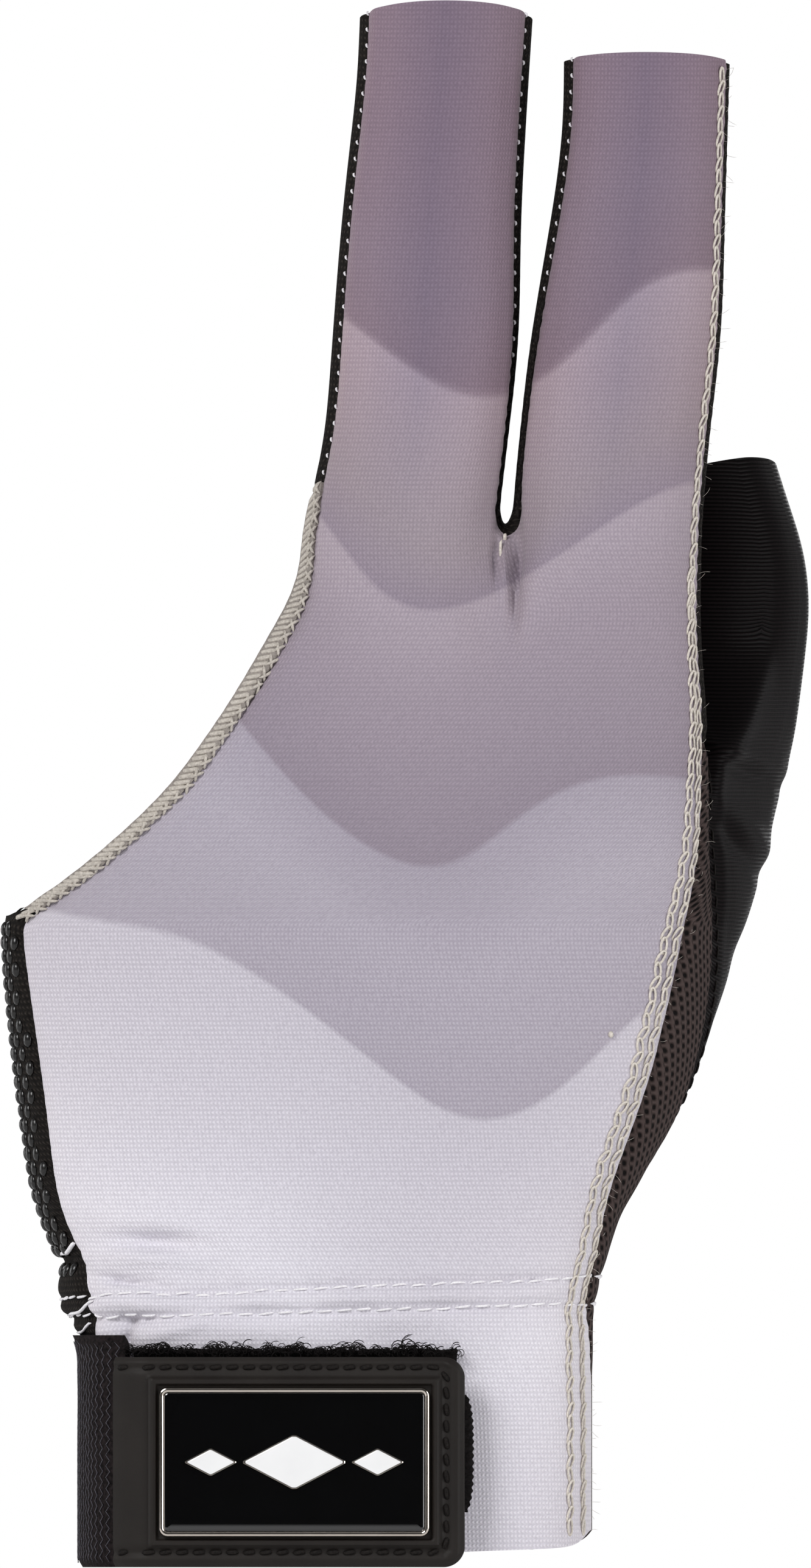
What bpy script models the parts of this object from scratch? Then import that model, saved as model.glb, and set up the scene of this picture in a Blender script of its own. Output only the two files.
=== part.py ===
"""Left-hand billiard glove with three fingers, in the form that it has when worn.

Fingers point along +Z, the back of the hand faces -Y and the thumb is at +X. The origin is
the middle of the cuff's mouth. All sizes are in metres.

The skin of the glove is a grid. Its rows are sections across the hand, the fingers and the thumb,
read from the tables below, and its columns run along the hand. The panels are parts of that grid,
each given its own thickness, with a sewing gap between neighbours.
"""
import math

import bmesh
import bpy
from mathutils import Vector

# Driving dimensions of the hand
CUFF_LENGTH = 0.0282
CUFF_WIDTH = 0.0640
CUFF_DEPTH = 0.0420
PALM_LENGTH = 0.1018
PALM_WIDTH = 0.0903
PALM_DEPTH = 0.0310
SLOT_X = 0.2315 * PALM_WIDTH
MOUTH_SLOPE = 0.036

# Driving dimensions of the fingers and the thumb
MIDDLE_LENGTH = 0.0658
MIDDLE_WIDTH = 0.0230
INDEX_LENGTH = 0.0604
INDEX_WIDTH = 0.0220
FINGER_DEPTH = 0.0200
THUMB_LENGTH = 0.0875
THUMB_WIDTH = 0.0224
THUMB_DEPTH = 0.0196
THUMB_REACH = 0.0266

# Openings in the skin, as heights above the cuff's mouth and places across the palm
THUMB_HOLE_BOTTOM = CUFF_LENGTH + 0.2024 * PALM_LENGTH
THUMB_HOLE_TOP = CUFF_LENGTH + 0.7446 * PALM_LENGTH
OPENING_BOTTOM = CUFF_LENGTH + 0.5255 * PALM_LENGTH
OPENING_ABOVE_SLOT = 0.0060
OPENING_TOP = CUFF_LENGTH + PALM_LENGTH + OPENING_ABOVE_SLOT
OPENING_CORNER_X = -0.4596 * PALM_WIDTH
OPENING_REACH = 0.4219 * PALM_WIDTH

# Cloth
FABRIC_WALL = 0.0011
HEM_WALL = 0.0018
HEM_WIDTH = 0.0024
SEWING_GAP = 0.0003
SLOT_EASE = 3 * FABRIC_WALL
WEB_RISE = 0.0012

# Strap, tab and badge
LAYER_GAP = 0.00025
LOOP_WALL = 0.0010
HOOK_WALL = 0.0009
ELASTIC_WALL = 0.0013
TAB_WALL = 0.0016
TAB_WIDTH = 0.0430
TAB_HEIGHT = 0.0268
TAB_BOTTOM = -0.0014
TAB_FROM_SIDE = 0.0049
TAB_CORNER = 0.0027
TAB_BEND = 0.0040
FRAME_BAND = 0.0013
FRAME_RISE = 0.0007
FRAME_RAMP = 0.25 * FRAME_BAND
BADGE_WIDTH = 0.0345
BADGE_HEIGHT = 0.0190
BADGE_FROM_RIGHT = 0.0044
BADGE_FROM_TOP = 0.0039
BADGE_DEPTH = 0.0012
BADGE_RIM = 0.0007
BADGE_RAMP = 0.3 * BADGE_RIM
BADGE_FLOOR = 0.0005
BADGE_CLEARANCE = 0.0002
ENAMEL_DROP = 0.0002
EMBLEM_RISE = 0.0005
EMBLEM_LENGTH = 0.0130
EMBLEM_HEIGHT = 0.0068
EMBLEM_GAP = 0.0009
EMBLEM_SMALL = 0.5
EMBLEM_BEVEL = 0.86
EMBLEM_SIDE = 0.6 * EMBLEM_RISE
ELASTIC_HEIGHT = 0.0296
ELASTIC_END_ANGLE = 215.0
ELASTIC_OVERLAP = 0.0006
HOOK_OVERHANG = 0.0009
HOOK_BOTTOM = 0.0056
HOOK_HEIGHT = 0.0150
LOOP_TOP = 0.0264
LOOP_BOTTOM = 0.0006
LOOP_MARGIN = 0.0012

# Columns of the grid round the hand and cells across each of its stretches
FRONT_CELLS = 16
SIDE_CELLS = 4
OUTER_CELLS = 3
WEB_CELLS = 3
THUMB_HOLE_CELLS = 3
GUSSET_CELLS = 2
SLOT_COLUMN = FRONT_CELLS // 2
PALM_RIGHT = FRONT_CELLS + SIDE_CELLS
PALM_LEFT = PALM_RIGHT + FRONT_CELLS
RING_COLUMNS = PALM_LEFT + OUTER_CELLS
PALM_SLOT = PALM_RIGHT + SLOT_COLUMN

# Angles round a section, from the middle of the back towards the thumb side
GUSSET_ANGLE = 90.0
PALM_RIGHT_ANGLE = 130.0
FINGER_SEAM_LEFT = -67.0
FINGER_SEAM_INNER = 74.0
FINGER_SEAM_RIGHT = 83.0
FINGER_PALM_ANGLE = 120.0
PALM_SQUARENESS = 2.4
FINGER_SQUARENESS = 2.15
KNUCKLE_LENGTH = 0.0200

HAND_COLUMNS = ("height", "left", "right", "seam_left", "seam_right", "back", "palm", "square")

# Shares of CUFF_LENGTH, CUFF_WIDTH and CUFF_DEPTH, from the middle of the mouth
CUFF_ROWS = (
    (0.00, -0.500, 0.500, -0.460, 0.485, -0.500, 0.500, 4.4),
    (0.55, -0.500, 0.500, -0.465, 0.488, -0.500, 0.495, 4.4),
    (0.85, -0.500, 0.500, -0.470, 0.490, -0.498, 0.480, 4.3),
    (1.00, -0.506, 0.500, -0.485, 0.492, -0.488, 0.464, 4.0),
)

# Shares of PALM_LENGTH, PALM_WIDTH and PALM_DEPTH, from the top of the cuff
PALM_ROWS = (
    (0.024, -0.381, 0.358, -0.351, 0.350, -0.634, 0.606, 3.7),
    (0.057, -0.392, 0.365, -0.352, 0.355, -0.619, 0.574, 3.4),
    (0.096, -0.398, 0.380, -0.365, 0.368, -0.600, 0.548, 3.2),
    (0.150, -0.423, 0.401, -0.393, 0.379, -0.577, 0.523, 3.0),
    (0.204, -0.442, 0.446, -0.410, 0.394, -0.555, 0.510, 2.8),
    (0.273, -0.454, 0.483, -0.419, 0.421, -0.542, 0.503, 2.7),
    (0.352, -0.466, 0.512, -0.432, 0.449, -0.532, 0.500, 2.6),
    (0.460, -0.477, 0.527, -0.451, 0.477, -0.523, 0.490, 2.6),
    (0.529, -0.480, 0.526, -0.461, 0.496, -0.516, 0.484, 2.6),
    (0.607, -0.476, 0.519, -0.461, 0.512, -0.510, 0.477, 2.6),
    (0.691, -0.432, 0.519, -0.420, 0.515, -0.494, 0.465, 2.6),
    (0.774, -0.365, 0.517, -0.350, 0.513, -0.471, 0.442, 2.6),
    (0.862, -0.255, 0.509, -0.245, 0.505, -0.429, 0.406, 2.5),
    (0.941, -0.122, 0.506, -0.110, 0.502, -0.387, 0.361, 2.4),
    (1.000, -0.054, 0.508, -0.048, 0.504, -0.348, 0.329, 2.4),
)

FINGER_COLUMNS = ("height", "left", "right", "lean", "half_depth")

# Shares of MIDDLE_LENGTH, MIDDLE_WIDTH from the slot, and FINGER_DEPTH
MIDDLE_ROWS = (
    (0.000, -1.122, -0.030, 0.000, 0.510),
    (0.053, -1.087, -0.035, 0.005, 0.500),
    (0.122, -1.039, -0.004, 0.020, 0.490),
    (0.198, -1.004, 0.017, 0.045, 0.480),
    (0.380, -0.965, 0.074, 0.120, 0.470),
    (0.608, -0.913, 0.087, 0.260, 0.455),
    (0.783, -0.857, 0.113, 0.390, 0.445),
    (0.912, -0.817, 0.135, 0.505, 0.435),
    (1.000, -0.811, 0.152, 0.595, 0.430),
)

# Shares of INDEX_LENGTH, INDEX_WIDTH from the slot, and FINGER_DEPTH
INDEX_ROWS = (
    (0.000, 0.032, 1.136, 0.000, 0.510),
    (0.058, 0.050, 1.145, 0.000, 0.500),
    (0.132, 0.059, 1.164, 0.010, 0.490),
    (0.248, 0.095, 1.191, 0.025, 0.475),
    (0.414, 0.145, 1.250, 0.065, 0.465),
    (0.546, 0.205, 1.264, 0.110, 0.455),
    (0.690, 0.268, 1.273, 0.170, 0.450),
    (0.828, 0.327, 1.286, 0.235, 0.440),
    (1.000, 0.336, 1.300, 0.325, 0.430),
)

THUMB_COLUMNS = ("height", "middle", "back_off", "half_width", "half_depth")

# Shares of THUMB_LENGTH above the hole, PALM_WIDTH, THUMB_REACH, THUMB_WIDTH and THUMB_DEPTH
THUMB_ROWS = (
    (0.779, 0.526, 1.000, 0.527, 0.510),
    (0.831, 0.531, 1.030, 0.531, 0.505),
    (0.882, 0.527, 1.068, 0.518, 0.495),
    (0.939, 0.513, 1.117, 0.487, 0.490),
    (1.000, 0.498, 1.177, 0.473, 0.480),
)

OPENING_COLUMNS = ("rise", "reach", "palm_reach")

# Shares of the opening's height and of OPENING_REACH, for the back's edge and the palm's edge
OPENING_ROWS = (
    (0.000, 0.000, 0.000),
    (0.107, 0.210, 0.250),
    (0.217, 0.394, 0.440),
    (0.309, 0.525, 0.580),
    (0.438, 0.656, 0.720),
    (0.549, 0.761, 0.820),
    (0.696, 0.866, 0.910),
    (0.862, 0.958, 0.980),
    (1.000, 1.000, 1.000),
)

FOLD_COLUMNS = ("face", "across", "height", "length", "width", "slope", "rise")

# Folds in the cloth: middle as shares of PALM_WIDTH and PALM_LENGTH above the cuff's top,
# length and width as shares of PALM_WIDTH, slope in degrees, rise as a share of PALM_DEPTH
FOLD_ROWS = (
    ("back", -0.270, 0.035, 0.200, 0.032, -8.0, 0.030),
    ("back", -0.230, 0.095, 0.160, 0.034, -20.0, -0.022),
    ("back", -0.300, 0.120, 0.120, 0.030, 25.0, 0.020),
    ("back", 0.120, 0.030, 0.260, 0.034, 2.0, 0.014),
    ("back", 0.225, 0.900, 0.140, 0.036, 96.0, -0.034),
    ("back", 0.160, 0.930, 0.110, 0.030, 60.0, 0.016),
    ("back", 0.320, 0.920, 0.110, 0.030, 125.0, 0.016),
    ("palm", 0.000, 0.420, 0.420, 0.050, 35.0, -0.030),
    ("palm", 0.050, 0.700, 0.460, 0.050, 12.0, -0.030),
)

THUMB_FOLD_COLUMNS = ("turn", "height", "span", "width", "rise")

# Folds across the thumb: middle in degrees round it, height as a share of THUMB_LENGTH above the
# hole's bottom, span in degrees, width as a share of THUMB_LENGTH, rise as a share of THUMB_DEPTH
THUMB_FOLD_ROWS = (
    (70.0, 0.560, 45.0, 0.045, -0.045),
    (80.0, 0.640, 45.0, 0.045, 0.035),
    (200.0, 0.700, 80.0, 0.045, -0.040),
)


def as_table(columns, rows, sizes, base=0.0):
    """Turn rows of shares into rows of sizes, with the first column raised by a base."""
    table = []
    for row in rows:
        entry = {name: share * size for name, share, size in zip(columns, row, sizes)}
        entry[columns[0]] += base
        table.append(entry)
    return table


HAND = as_table(
    HAND_COLUMNS,
    CUFF_ROWS,
    (CUFF_LENGTH, CUFF_WIDTH, CUFF_WIDTH, CUFF_WIDTH, CUFF_WIDTH, CUFF_DEPTH, CUFF_DEPTH, 1.0),
) + as_table(
    HAND_COLUMNS,
    PALM_ROWS,
    (PALM_LENGTH, PALM_WIDTH, PALM_WIDTH, PALM_WIDTH, PALM_WIDTH, PALM_DEPTH, PALM_DEPTH, 1.0),
    CUFF_LENGTH,
)
SLOT_HEIGHT = CUFF_LENGTH + PALM_LENGTH
FINGERS = {
    "middle": as_table(
        FINGER_COLUMNS,
        MIDDLE_ROWS,
        (MIDDLE_LENGTH, MIDDLE_WIDTH, MIDDLE_WIDTH, FINGER_DEPTH, FINGER_DEPTH),
        SLOT_HEIGHT,
    ),
    "index": as_table(
        FINGER_COLUMNS,
        INDEX_ROWS,
        (INDEX_LENGTH, INDEX_WIDTH, INDEX_WIDTH, FINGER_DEPTH, FINGER_DEPTH),
        SLOT_HEIGHT,
    ),
}
THUMB = as_table(
    THUMB_COLUMNS,
    THUMB_ROWS,
    (THUMB_LENGTH, PALM_WIDTH, THUMB_REACH, THUMB_WIDTH, THUMB_DEPTH),
    THUMB_HOLE_BOTTOM,
)
OPENING = as_table(
    OPENING_COLUMNS,
    OPENING_ROWS,
    (OPENING_TOP - OPENING_BOTTOM, OPENING_REACH, OPENING_REACH),
    OPENING_BOTTOM,
)


def smooth_at(table, key, column, value):
    """Read a column at a value of the key, along a smooth curve through the table's rows."""
    knots = [row[key] for row in table]
    heights = [row[column] for row in table]
    value = min(max(value, knots[0]), knots[-1])
    index = 0
    while index < len(knots) - 2 and knots[index + 1] <= value:
        index += 1

    def slope(place):
        low = max(place - 1, 0)
        high = min(place + 1, len(knots) - 1)
        return (heights[high] - heights[low]) / (knots[high] - knots[low])

    span = knots[index + 1] - knots[index]
    t = (value - knots[index]) / span
    start = heights[index]
    end = heights[index + 1]
    leave = slope(index) * span
    arrive = slope(index + 1) * span
    return (
        start
        + t * leave
        + t * t * (3 * (end - start) - 2 * leave - arrive)
        + t ** 3 * (2 * (start - end) + leave + arrive)
    )


def ease(value, low, high):
    """Rise smoothly from 0 at low to 1 at high."""
    t = min(max((value - low) / (high - low), 0.0), 1.0)
    return t * t * (3.0 - 2.0 * t)


def hand_section(height):
    """Section across the cuff or the palm: its four sides and how square its two halves are."""
    return {
        "left": smooth_at(HAND, "height", "left", height),
        "right": smooth_at(HAND, "height", "right", height),
        "back": smooth_at(HAND, "height", "back", height),
        "palm": smooth_at(HAND, "height", "palm", height),
        "square_back": smooth_at(HAND, "height", "square", height),
        "square_palm": PALM_SQUARENESS,
    }


def finger_section(name, height):
    """Section across a finger."""
    table = FINGERS[name]
    centre = smooth_at(table, "height", "lean", height)
    half = smooth_at(table, "height", "half_depth", height)
    return {
        "left": SLOT_X + smooth_at(table, "height", "left", height),
        "right": SLOT_X + smooth_at(table, "height", "right", height),
        "back": centre - half,
        "palm": centre + half,
        "square_back": FINGER_SQUARENESS,
        "square_palm": FINGER_SQUARENESS,
    }


def finger_lean(name, height):
    """How much a finger leans back for each unit of height."""
    step = 0.0005
    table = FINGERS[name]
    top = table[-1]["height"]
    high = min(height + step, top)
    low = max(height - step, SLOT_HEIGHT)
    rise = smooth_at(table, "height", "lean", high) - smooth_at(table, "height", "lean", low)
    return rise / (high - low)


def section_point(section, angle):
    """Point of a section at an angle in degrees, from the middle of the back to the thumb side."""
    turn = math.radians(angle)
    across = math.sin(turn)
    towards_back = math.cos(turn)
    square = section["square_back"] if towards_back > 0 else section["square_palm"]
    half_width = (section["right"] - section["left"]) / 2
    half_depth = (section["palm"] - section["back"]) / 2
    x = math.copysign(abs(across) ** (2 / square), across)
    y = math.copysign(abs(towards_back) ** (2 / square), towards_back)
    return Vector((
        (section["right"] + section["left"]) / 2 + half_width * x,
        (section["palm"] + section["back"]) / 2 - half_depth * y,
        0.0,
    ))


def angle_at(section, x, palm_side=False):
    """Angle of the section's point at x, on its back half or its palm half."""
    half_width = (section["right"] - section["left"]) / 2
    share = (x - (section["right"] + section["left"]) / 2) / half_width
    share = min(max(share, -0.999), 0.999)
    square = section["square_palm"] if palm_side else section["square_back"]
    angle = math.degrees(math.asin(math.copysign(abs(share) ** (square / 2), share)))
    return 180.0 - angle if palm_side else angle


def spread(section, start, end, count):
    """Points at equal steps along a section between two angles, both ends included."""
    samples = 72
    track = [section_point(section, start + (end - start) * i / samples) for i in range(samples + 1)]
    reach = [0.0]
    for before, after in zip(track, track[1:]):
        reach.append(reach[-1] + (after - before).length)
    points = []
    place = 0
    for step in range(count + 1):
        target = reach[-1] * step / count
        while place < samples - 1 and reach[place + 1] < target:
            place += 1
        share = (target - reach[place]) / (reach[place + 1] - reach[place])
        points.append(track[place].lerp(track[place + 1], share))
    return points


def steps(start, end, count):
    """Values at equal steps from start up to, and not including, end."""
    return [start + (end - start) * i / count for i in range(count)]


CORNER_ROW = OPENING_BOTTOM - 0.5 * HEM_WIDTH
HAND_LEVELS = (
    steps(0.0, CUFF_LENGTH, 5)
    + steps(CUFF_LENGTH, THUMB_HOLE_BOTTOM, 7)
    + steps(THUMB_HOLE_BOTTOM, CORNER_ROW, 6)
    + [CORNER_ROW]
    + steps(OPENING_BOTTOM, THUMB_HOLE_TOP, 4)
    + steps(THUMB_HOLE_TOP, SLOT_HEIGHT, 6)
    + [SLOT_HEIGHT]
)
FINGER_LEVELS = {
    "middle": steps(SLOT_HEIGHT, OPENING_TOP, 2)
    + steps(OPENING_TOP, SLOT_HEIGHT + MIDDLE_LENGTH, 10)
    + [SLOT_HEIGHT + MIDDLE_LENGTH],
    "index": steps(SLOT_HEIGHT, OPENING_TOP, 2)
    + steps(OPENING_TOP, SLOT_HEIGHT + INDEX_LENGTH, 9)
    + [SLOT_HEIGHT + INDEX_LENGTH],
}


def in_opening(height):
    """True where the skin is open for the ring and little fingers."""
    return OPENING_BOTTOM <= height <= OPENING_TOP


def opening_angles(section, height):
    """Angles of the opening's edge on the back, of the hem's inner edge and of the palm's edge."""
    edge_x = OPENING_CORNER_X + smooth_at(OPENING, "rise", "reach", height)
    palm_x = OPENING_CORNER_X + smooth_at(OPENING, "rise", "palm_reach", height)
    edge = angle_at(section, edge_x)
    hem = edge
    here = section_point(section, edge)
    while (section_point(section, hem) - here).length < HEM_WIDTH:
        hem += 0.5
    return edge, hem, angle_at(section, palm_x, True)


def tilt_at(height):
    """Slope of a row across the hand: the cuff's mouth is slightly lower at its left."""
    return MOUTH_SLOPE * (1.0 - ease(height, CUFF_LENGTH, THUMB_HOLE_BOTTOM + CUFF_LENGTH))


def fold_rise(face, x, height):
    """Outward shift of the cloth from the folds on one face."""
    rise = 0.0
    for row in FOLD_ROWS:
        fold = dict(zip(FOLD_COLUMNS, row))
        if fold["face"] != face:
            continue
        slope = math.radians(fold["slope"])
        along_x = x - fold["across"] * PALM_WIDTH
        along_z = height - CUFF_LENGTH - fold["height"] * PALM_LENGTH
        along = along_x * math.cos(slope) + along_z * math.sin(slope)
        aside = along_z * math.cos(slope) - along_x * math.sin(slope)
        reach = (2 * along / (fold["length"] * PALM_WIDTH)) ** 2
        spread_out = (aside / (fold["width"] * PALM_WIDTH)) ** 2
        rise += fold["rise"] * PALM_DEPTH * math.exp(-reach - spread_out)
    return rise


def hand_ring(height):
    """Points of one row round the hand, by column, and the point on the opening's edge."""
    section = hand_section(height)
    left = angle_at(section, smooth_at(HAND, "height", "seam_left", height))
    right = angle_at(section, smooth_at(HAND, "height", "seam_right", height))
    palm_left = 180.0 - left
    edge = None
    if in_opening(height):
        edge_angle, left, palm_left = opening_angles(section, height)
        edge = section_point(section, edge_angle)
    ring = spread(section, left, right, FRONT_CELLS)
    if height > THUMB_HOLE_TOP:
        ring += spread(section, right, PALM_RIGHT_ANGLE, SIDE_CELLS)[1:]
    else:
        ring += spread(section, right, GUSSET_ANGLE, GUSSET_CELLS)[1:]
        ring += spread(section, GUSSET_ANGLE, PALM_RIGHT_ANGLE, SIDE_CELLS - GUSSET_CELLS)[1:]
    ring += spread(section, PALM_RIGHT_ANGLE, palm_left, FRONT_CELLS)[1:]
    ring += spread(section, palm_left, 360.0 + left, OUTER_CELLS)[1:-1]
    if height == OPENING_BOTTOM:
        ring[-OUTER_CELLS + 1:] = spread(section, palm_left, 360.0 + edge_angle, OUTER_CELLS - 1)[1:]
    return ring, edge


def finger_ring(name, height):
    """Points of one row round a finger, by the hand's columns, with the web side by name."""
    section = finger_section(name, height)
    half = SLOT_COLUMN
    palm_end = 360.0 - FINGER_PALM_ANGLE
    points = {}
    if name == "middle":
        left = FINGER_SEAM_LEFT
        palm_left = palm_end
        if height < OPENING_TOP:
            edge_angle, left, palm_left = opening_angles(section, height)
            points["edge"] = section_point(section, edge_angle)
        elif height == OPENING_TOP:
            edge_angle, left, palm_left = opening_angles(section, OPENING_TOP)
        front = spread(section, left, FINGER_SEAM_INNER, half)
        inner = spread(section, FINGER_SEAM_INNER, FINGER_PALM_ANGLE, WEB_CELLS)
        palm = spread(section, FINGER_PALM_ANGLE, palm_left, half)
        outer = spread(section, palm_left, 360.0 + left, OUTER_CELLS)
        if height == OPENING_TOP:
            outer = spread(section, palm_left, 360.0 + edge_angle, OUTER_CELLS - 1) + outer[-1:]
        points.update({column: point for column, point in enumerate(front)})
        points.update({f"web{i}": inner[i] for i in range(1, WEB_CELLS)})
        points.update({PALM_SLOT + i: point for i, point in enumerate(palm)})
        points.update({PALM_LEFT + i: outer[i] for i in range(1, OUTER_CELLS)})
    else:
        front = spread(section, FINGER_SEAM_LEFT, FINGER_SEAM_RIGHT, half)
        side = spread(section, FINGER_SEAM_RIGHT, FINGER_PALM_ANGLE, SIDE_CELLS)
        palm = spread(section, FINGER_PALM_ANGLE, palm_end, half)
        inner = spread(section, palm_end, 360.0 + FINGER_SEAM_LEFT, WEB_CELLS)
        points.update({SLOT_COLUMN + column: point for column, point in enumerate(front)})
        points.update({FRONT_CELLS + i: side[i] for i in range(1, SIDE_CELLS)})
        points.update({PALM_RIGHT + i: point for i, point in enumerate(palm)})
        points.update({f"web{WEB_CELLS - i}": inner[i] for i in range(1, WEB_CELLS)})
    lean = finger_lean(name, height)
    middle_y = (section["back"] + section["palm"]) / 2
    for point in points.values():
        point.z = height - (point.y - middle_y) * lean
    return points


def hand_points():
    """Every point of the hand's and the fingers' grid, by its place in the grid."""
    grid = {}
    knuckles = {}
    for name in FINGERS:
        knuckles[name] = finger_ring(name, SLOT_HEIGHT)
    slot_back = Vector((SLOT_X, knuckles["middle"][SLOT_COLUMN].y, SLOT_HEIGHT))
    slot_palm = Vector((SLOT_X, knuckles["middle"][PALM_SLOT].y, SLOT_HEIGHT))
    knuckle = {**knuckles["middle"], **knuckles["index"]}
    knuckle[SLOT_COLUMN] = slot_back
    knuckle[PALM_SLOT] = slot_palm
    for row, height in enumerate(HAND_LEVELS):
        ring, edge = hand_ring(height)
        share = ease(height, SLOT_HEIGHT - KNUCKLE_LENGTH, SLOT_HEIGHT) ** 2
        for column, point in enumerate(ring):
            if column in knuckle:
                aim = knuckle[column]
                point.x += share * (aim.x - point.x)
                point.y += share * (aim.y - point.y)
            face = "back" if point.y < 0 else "palm"
            outward = -1.0 if face == "back" else 1.0
            point.y += outward * fold_rise(face, point.x, height)
            point.z = height + tilt_at(height) * point.x
            grid["hand", row, column] = point
        if edge is not None:
            aim = knuckle["edge"]
            edge.x += share * (aim.x - edge.x)
            edge.y += share * (aim.y - edge.y)
            edge.y -= fold_rise("back", edge.x, height)
            edge.z = height + tilt_at(height) * edge.x
            grid["hand", row, "edge"] = edge
    for name in FINGERS:
        for row, height in enumerate(FINGER_LEVELS[name]):
            if row == 0:
                continue
            for column, point in finger_ring(name, height).items():
                grid[name, row, column] = point
    for i in range(1, WEB_CELLS):
        share = i / WEB_CELLS
        point = slot_back.lerp(slot_palm, share)
        point.z += WEB_RISE * math.sin(math.pi * share)
        grid["web", 0, f"web{i}"] = point
    return grid


LAST_OUTER = RING_COLUMNS - 1


def hand_key(row, column):
    """Place of a hand's point in the grid: the hem starts on the last point of the side's row."""
    if column == "edge" and HAND_LEVELS[row] == OPENING_BOTTOM:
        column = LAST_OUTER
    return "hand", row, column


def finger_key(name, row, column):
    """Place of a finger's point in the grid: its lowest row belongs to the hand or the web."""
    if column == "edge" and FINGER_LEVELS[name][row] == OPENING_TOP:
        column = LAST_OUTER
    if row > 0:
        return name, row, column
    if isinstance(column, str) and column != "edge":
        return "web", 0, column
    return "hand", len(HAND_LEVELS) - 1, column


def hand_owner(cell, low, high):
    """Name of the panel that a cell of the hand's grid belongs to, or None where it is open."""
    middle = (low + high) / 2
    in_hole = THUMB_HOLE_BOTTOM < middle < THUMB_HOLE_TOP
    if cell < FRONT_CELLS:
        return "back_panel"
    if cell < PALM_RIGHT:
        if middle < THUMB_HOLE_BOTTOM:
            return "side_gusset"
        if in_hole and cell < FRONT_CELLS + GUSSET_CELLS:
            return "side_gusset"
        return None if in_hole else "palm_panel"
    if cell < PALM_RIGHT + THUMB_HOLE_CELLS:
        return None if in_hole else "palm_panel"
    if cell < PALM_LEFT:
        return "palm_panel"
    return None if middle > OPENING_BOTTOM else "palm_panel"


def hand_faces():
    """Cells of the hand and the fingers, by panel."""
    faces = {"back_panel": [], "palm_panel": [], "side_gusset": [], "opening_hem": []}
    for row, (low, high) in enumerate(zip(HAND_LEVELS, HAND_LEVELS[1:])):
        for cell in range(RING_COLUMNS):
            owner = hand_owner(cell, low, high)
            after = (cell + 1) % RING_COLUMNS
            if owner:
                faces[owner].append((
                    ("hand", row, cell),
                    ("hand", row, after),
                    ("hand", row + 1, after),
                    ("hand", row + 1, cell),
                ))
        if low >= OPENING_BOTTOM:
            faces["opening_hem"].append((
                hand_key(row, "edge"),
                hand_key(row, 0),
                hand_key(row + 1, 0),
                hand_key(row + 1, "edge"),
            ))
    web = [f"web{i}" for i in range(1, WEB_CELLS)]
    loops = {
        "middle": list(range(SLOT_COLUMN + 1)) + web + list(range(PALM_SLOT, RING_COLUMNS)) + [0],
        "index": list(range(SLOT_COLUMN, PALM_SLOT + 1)) + web[::-1] + [SLOT_COLUMN],
    }
    front = {"middle": range(SLOT_COLUMN), "index": range(SLOT_COLUMN, FRONT_CELLS)}
    for name, columns in loops.items():
        levels = FINGER_LEVELS[name]
        for row in range(len(levels) - 1):
            below = levels[row] < OPENING_TOP - SEWING_GAP
            for before, after in zip(columns, columns[1:]):
                outer = isinstance(before, int) and before >= PALM_LEFT
                if outer and below:
                    continue
                owner = "back_panel" if before in front[name] else "palm_panel"
                faces[owner].append((
                    finger_key(name, row, before),
                    finger_key(name, row, after),
                    finger_key(name, row + 1, after),
                    finger_key(name, row + 1, before),
                ))
            if name == "middle" and below:
                faces["opening_hem"].append((
                    finger_key(name, row, "edge"),
                    finger_key(name, row, 0),
                    finger_key(name, row + 1, 0),
                    finger_key(name, row + 1, "edge"),
                ))
    return faces


THUMB_LOFT_ROWS = 9
HOLE_ROUNDING = 2
THUMB_SWING = 32.0
THUMB_CROTCH_SWING = 40.0
THUMB_DRAW_IN = 0.30
CROTCH_HEIGHT = 0.5 * THUMB_WIDTH
CROTCH_SHORTENING = 0.3
# Turns round the thumb that the corners of its hole lead to, from its back towards the thumb side
HOLE_TOP_BACK = 35.0
HOLE_BOTTOM_BACK = 105.0
HOLE_BOTTOM_PALM = 180.0
HOLE_TOP_PALM = 295.0


def thumb_hole(grid):
    """Grid places round the thumb's hole, each with the turn round the thumb that it leads to."""
    top = HAND_LEVELS.index(THUMB_HOLE_TOP)
    bottom = HAND_LEVELS.index(THUMB_HOLE_BOTTOM)
    inner = FRONT_CELLS + GUSSET_CELLS
    far = PALM_RIGHT + THUMB_HOLE_CELLS
    back = [("hand", row, inner) for row in range(top, bottom - 1, -1)]
    low = [("hand", bottom, column) for column in range(inner, far + 1)]
    palm = [("hand", row, far) for row in range(bottom, top + 1)]
    high = [("hand", top, column) for column in range(far, inner - 1, -1)]
    sides = (
        (back, HOLE_TOP_BACK, HOLE_BOTTOM_BACK),
        (low, HOLE_BOTTOM_BACK, HOLE_BOTTOM_PALM),
        (palm, HOLE_BOTTOM_PALM, HOLE_TOP_PALM),
        (high, HOLE_TOP_PALM, 360.0 + HOLE_TOP_BACK),
    )
    loop = []
    for side, start, end in sides:
        reach = [0.0]
        for before, after in zip(side, side[1:]):
            reach.append(reach[-1] + (grid[after] - grid[before]).length)
        for key, way in zip(side[:-1], reach):
            loop.append((key, start + (end - start) * way / reach[-1]))
    return loop


def thumb_lean(height):
    """How far the thumb's middle moves across and back for each unit of height."""
    step = 0.0005
    high = min(height + step, THUMB[-1]["height"])
    low = max(height - step, THUMB[0]["height"])
    across = smooth_at(THUMB, "height", "middle", high) - smooth_at(THUMB, "height", "middle", low)
    back = smooth_at(THUMB, "height", "back_off", high) - smooth_at(THUMB, "height", "back_off", low)
    return across / (high - low), back / (high - low)


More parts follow.
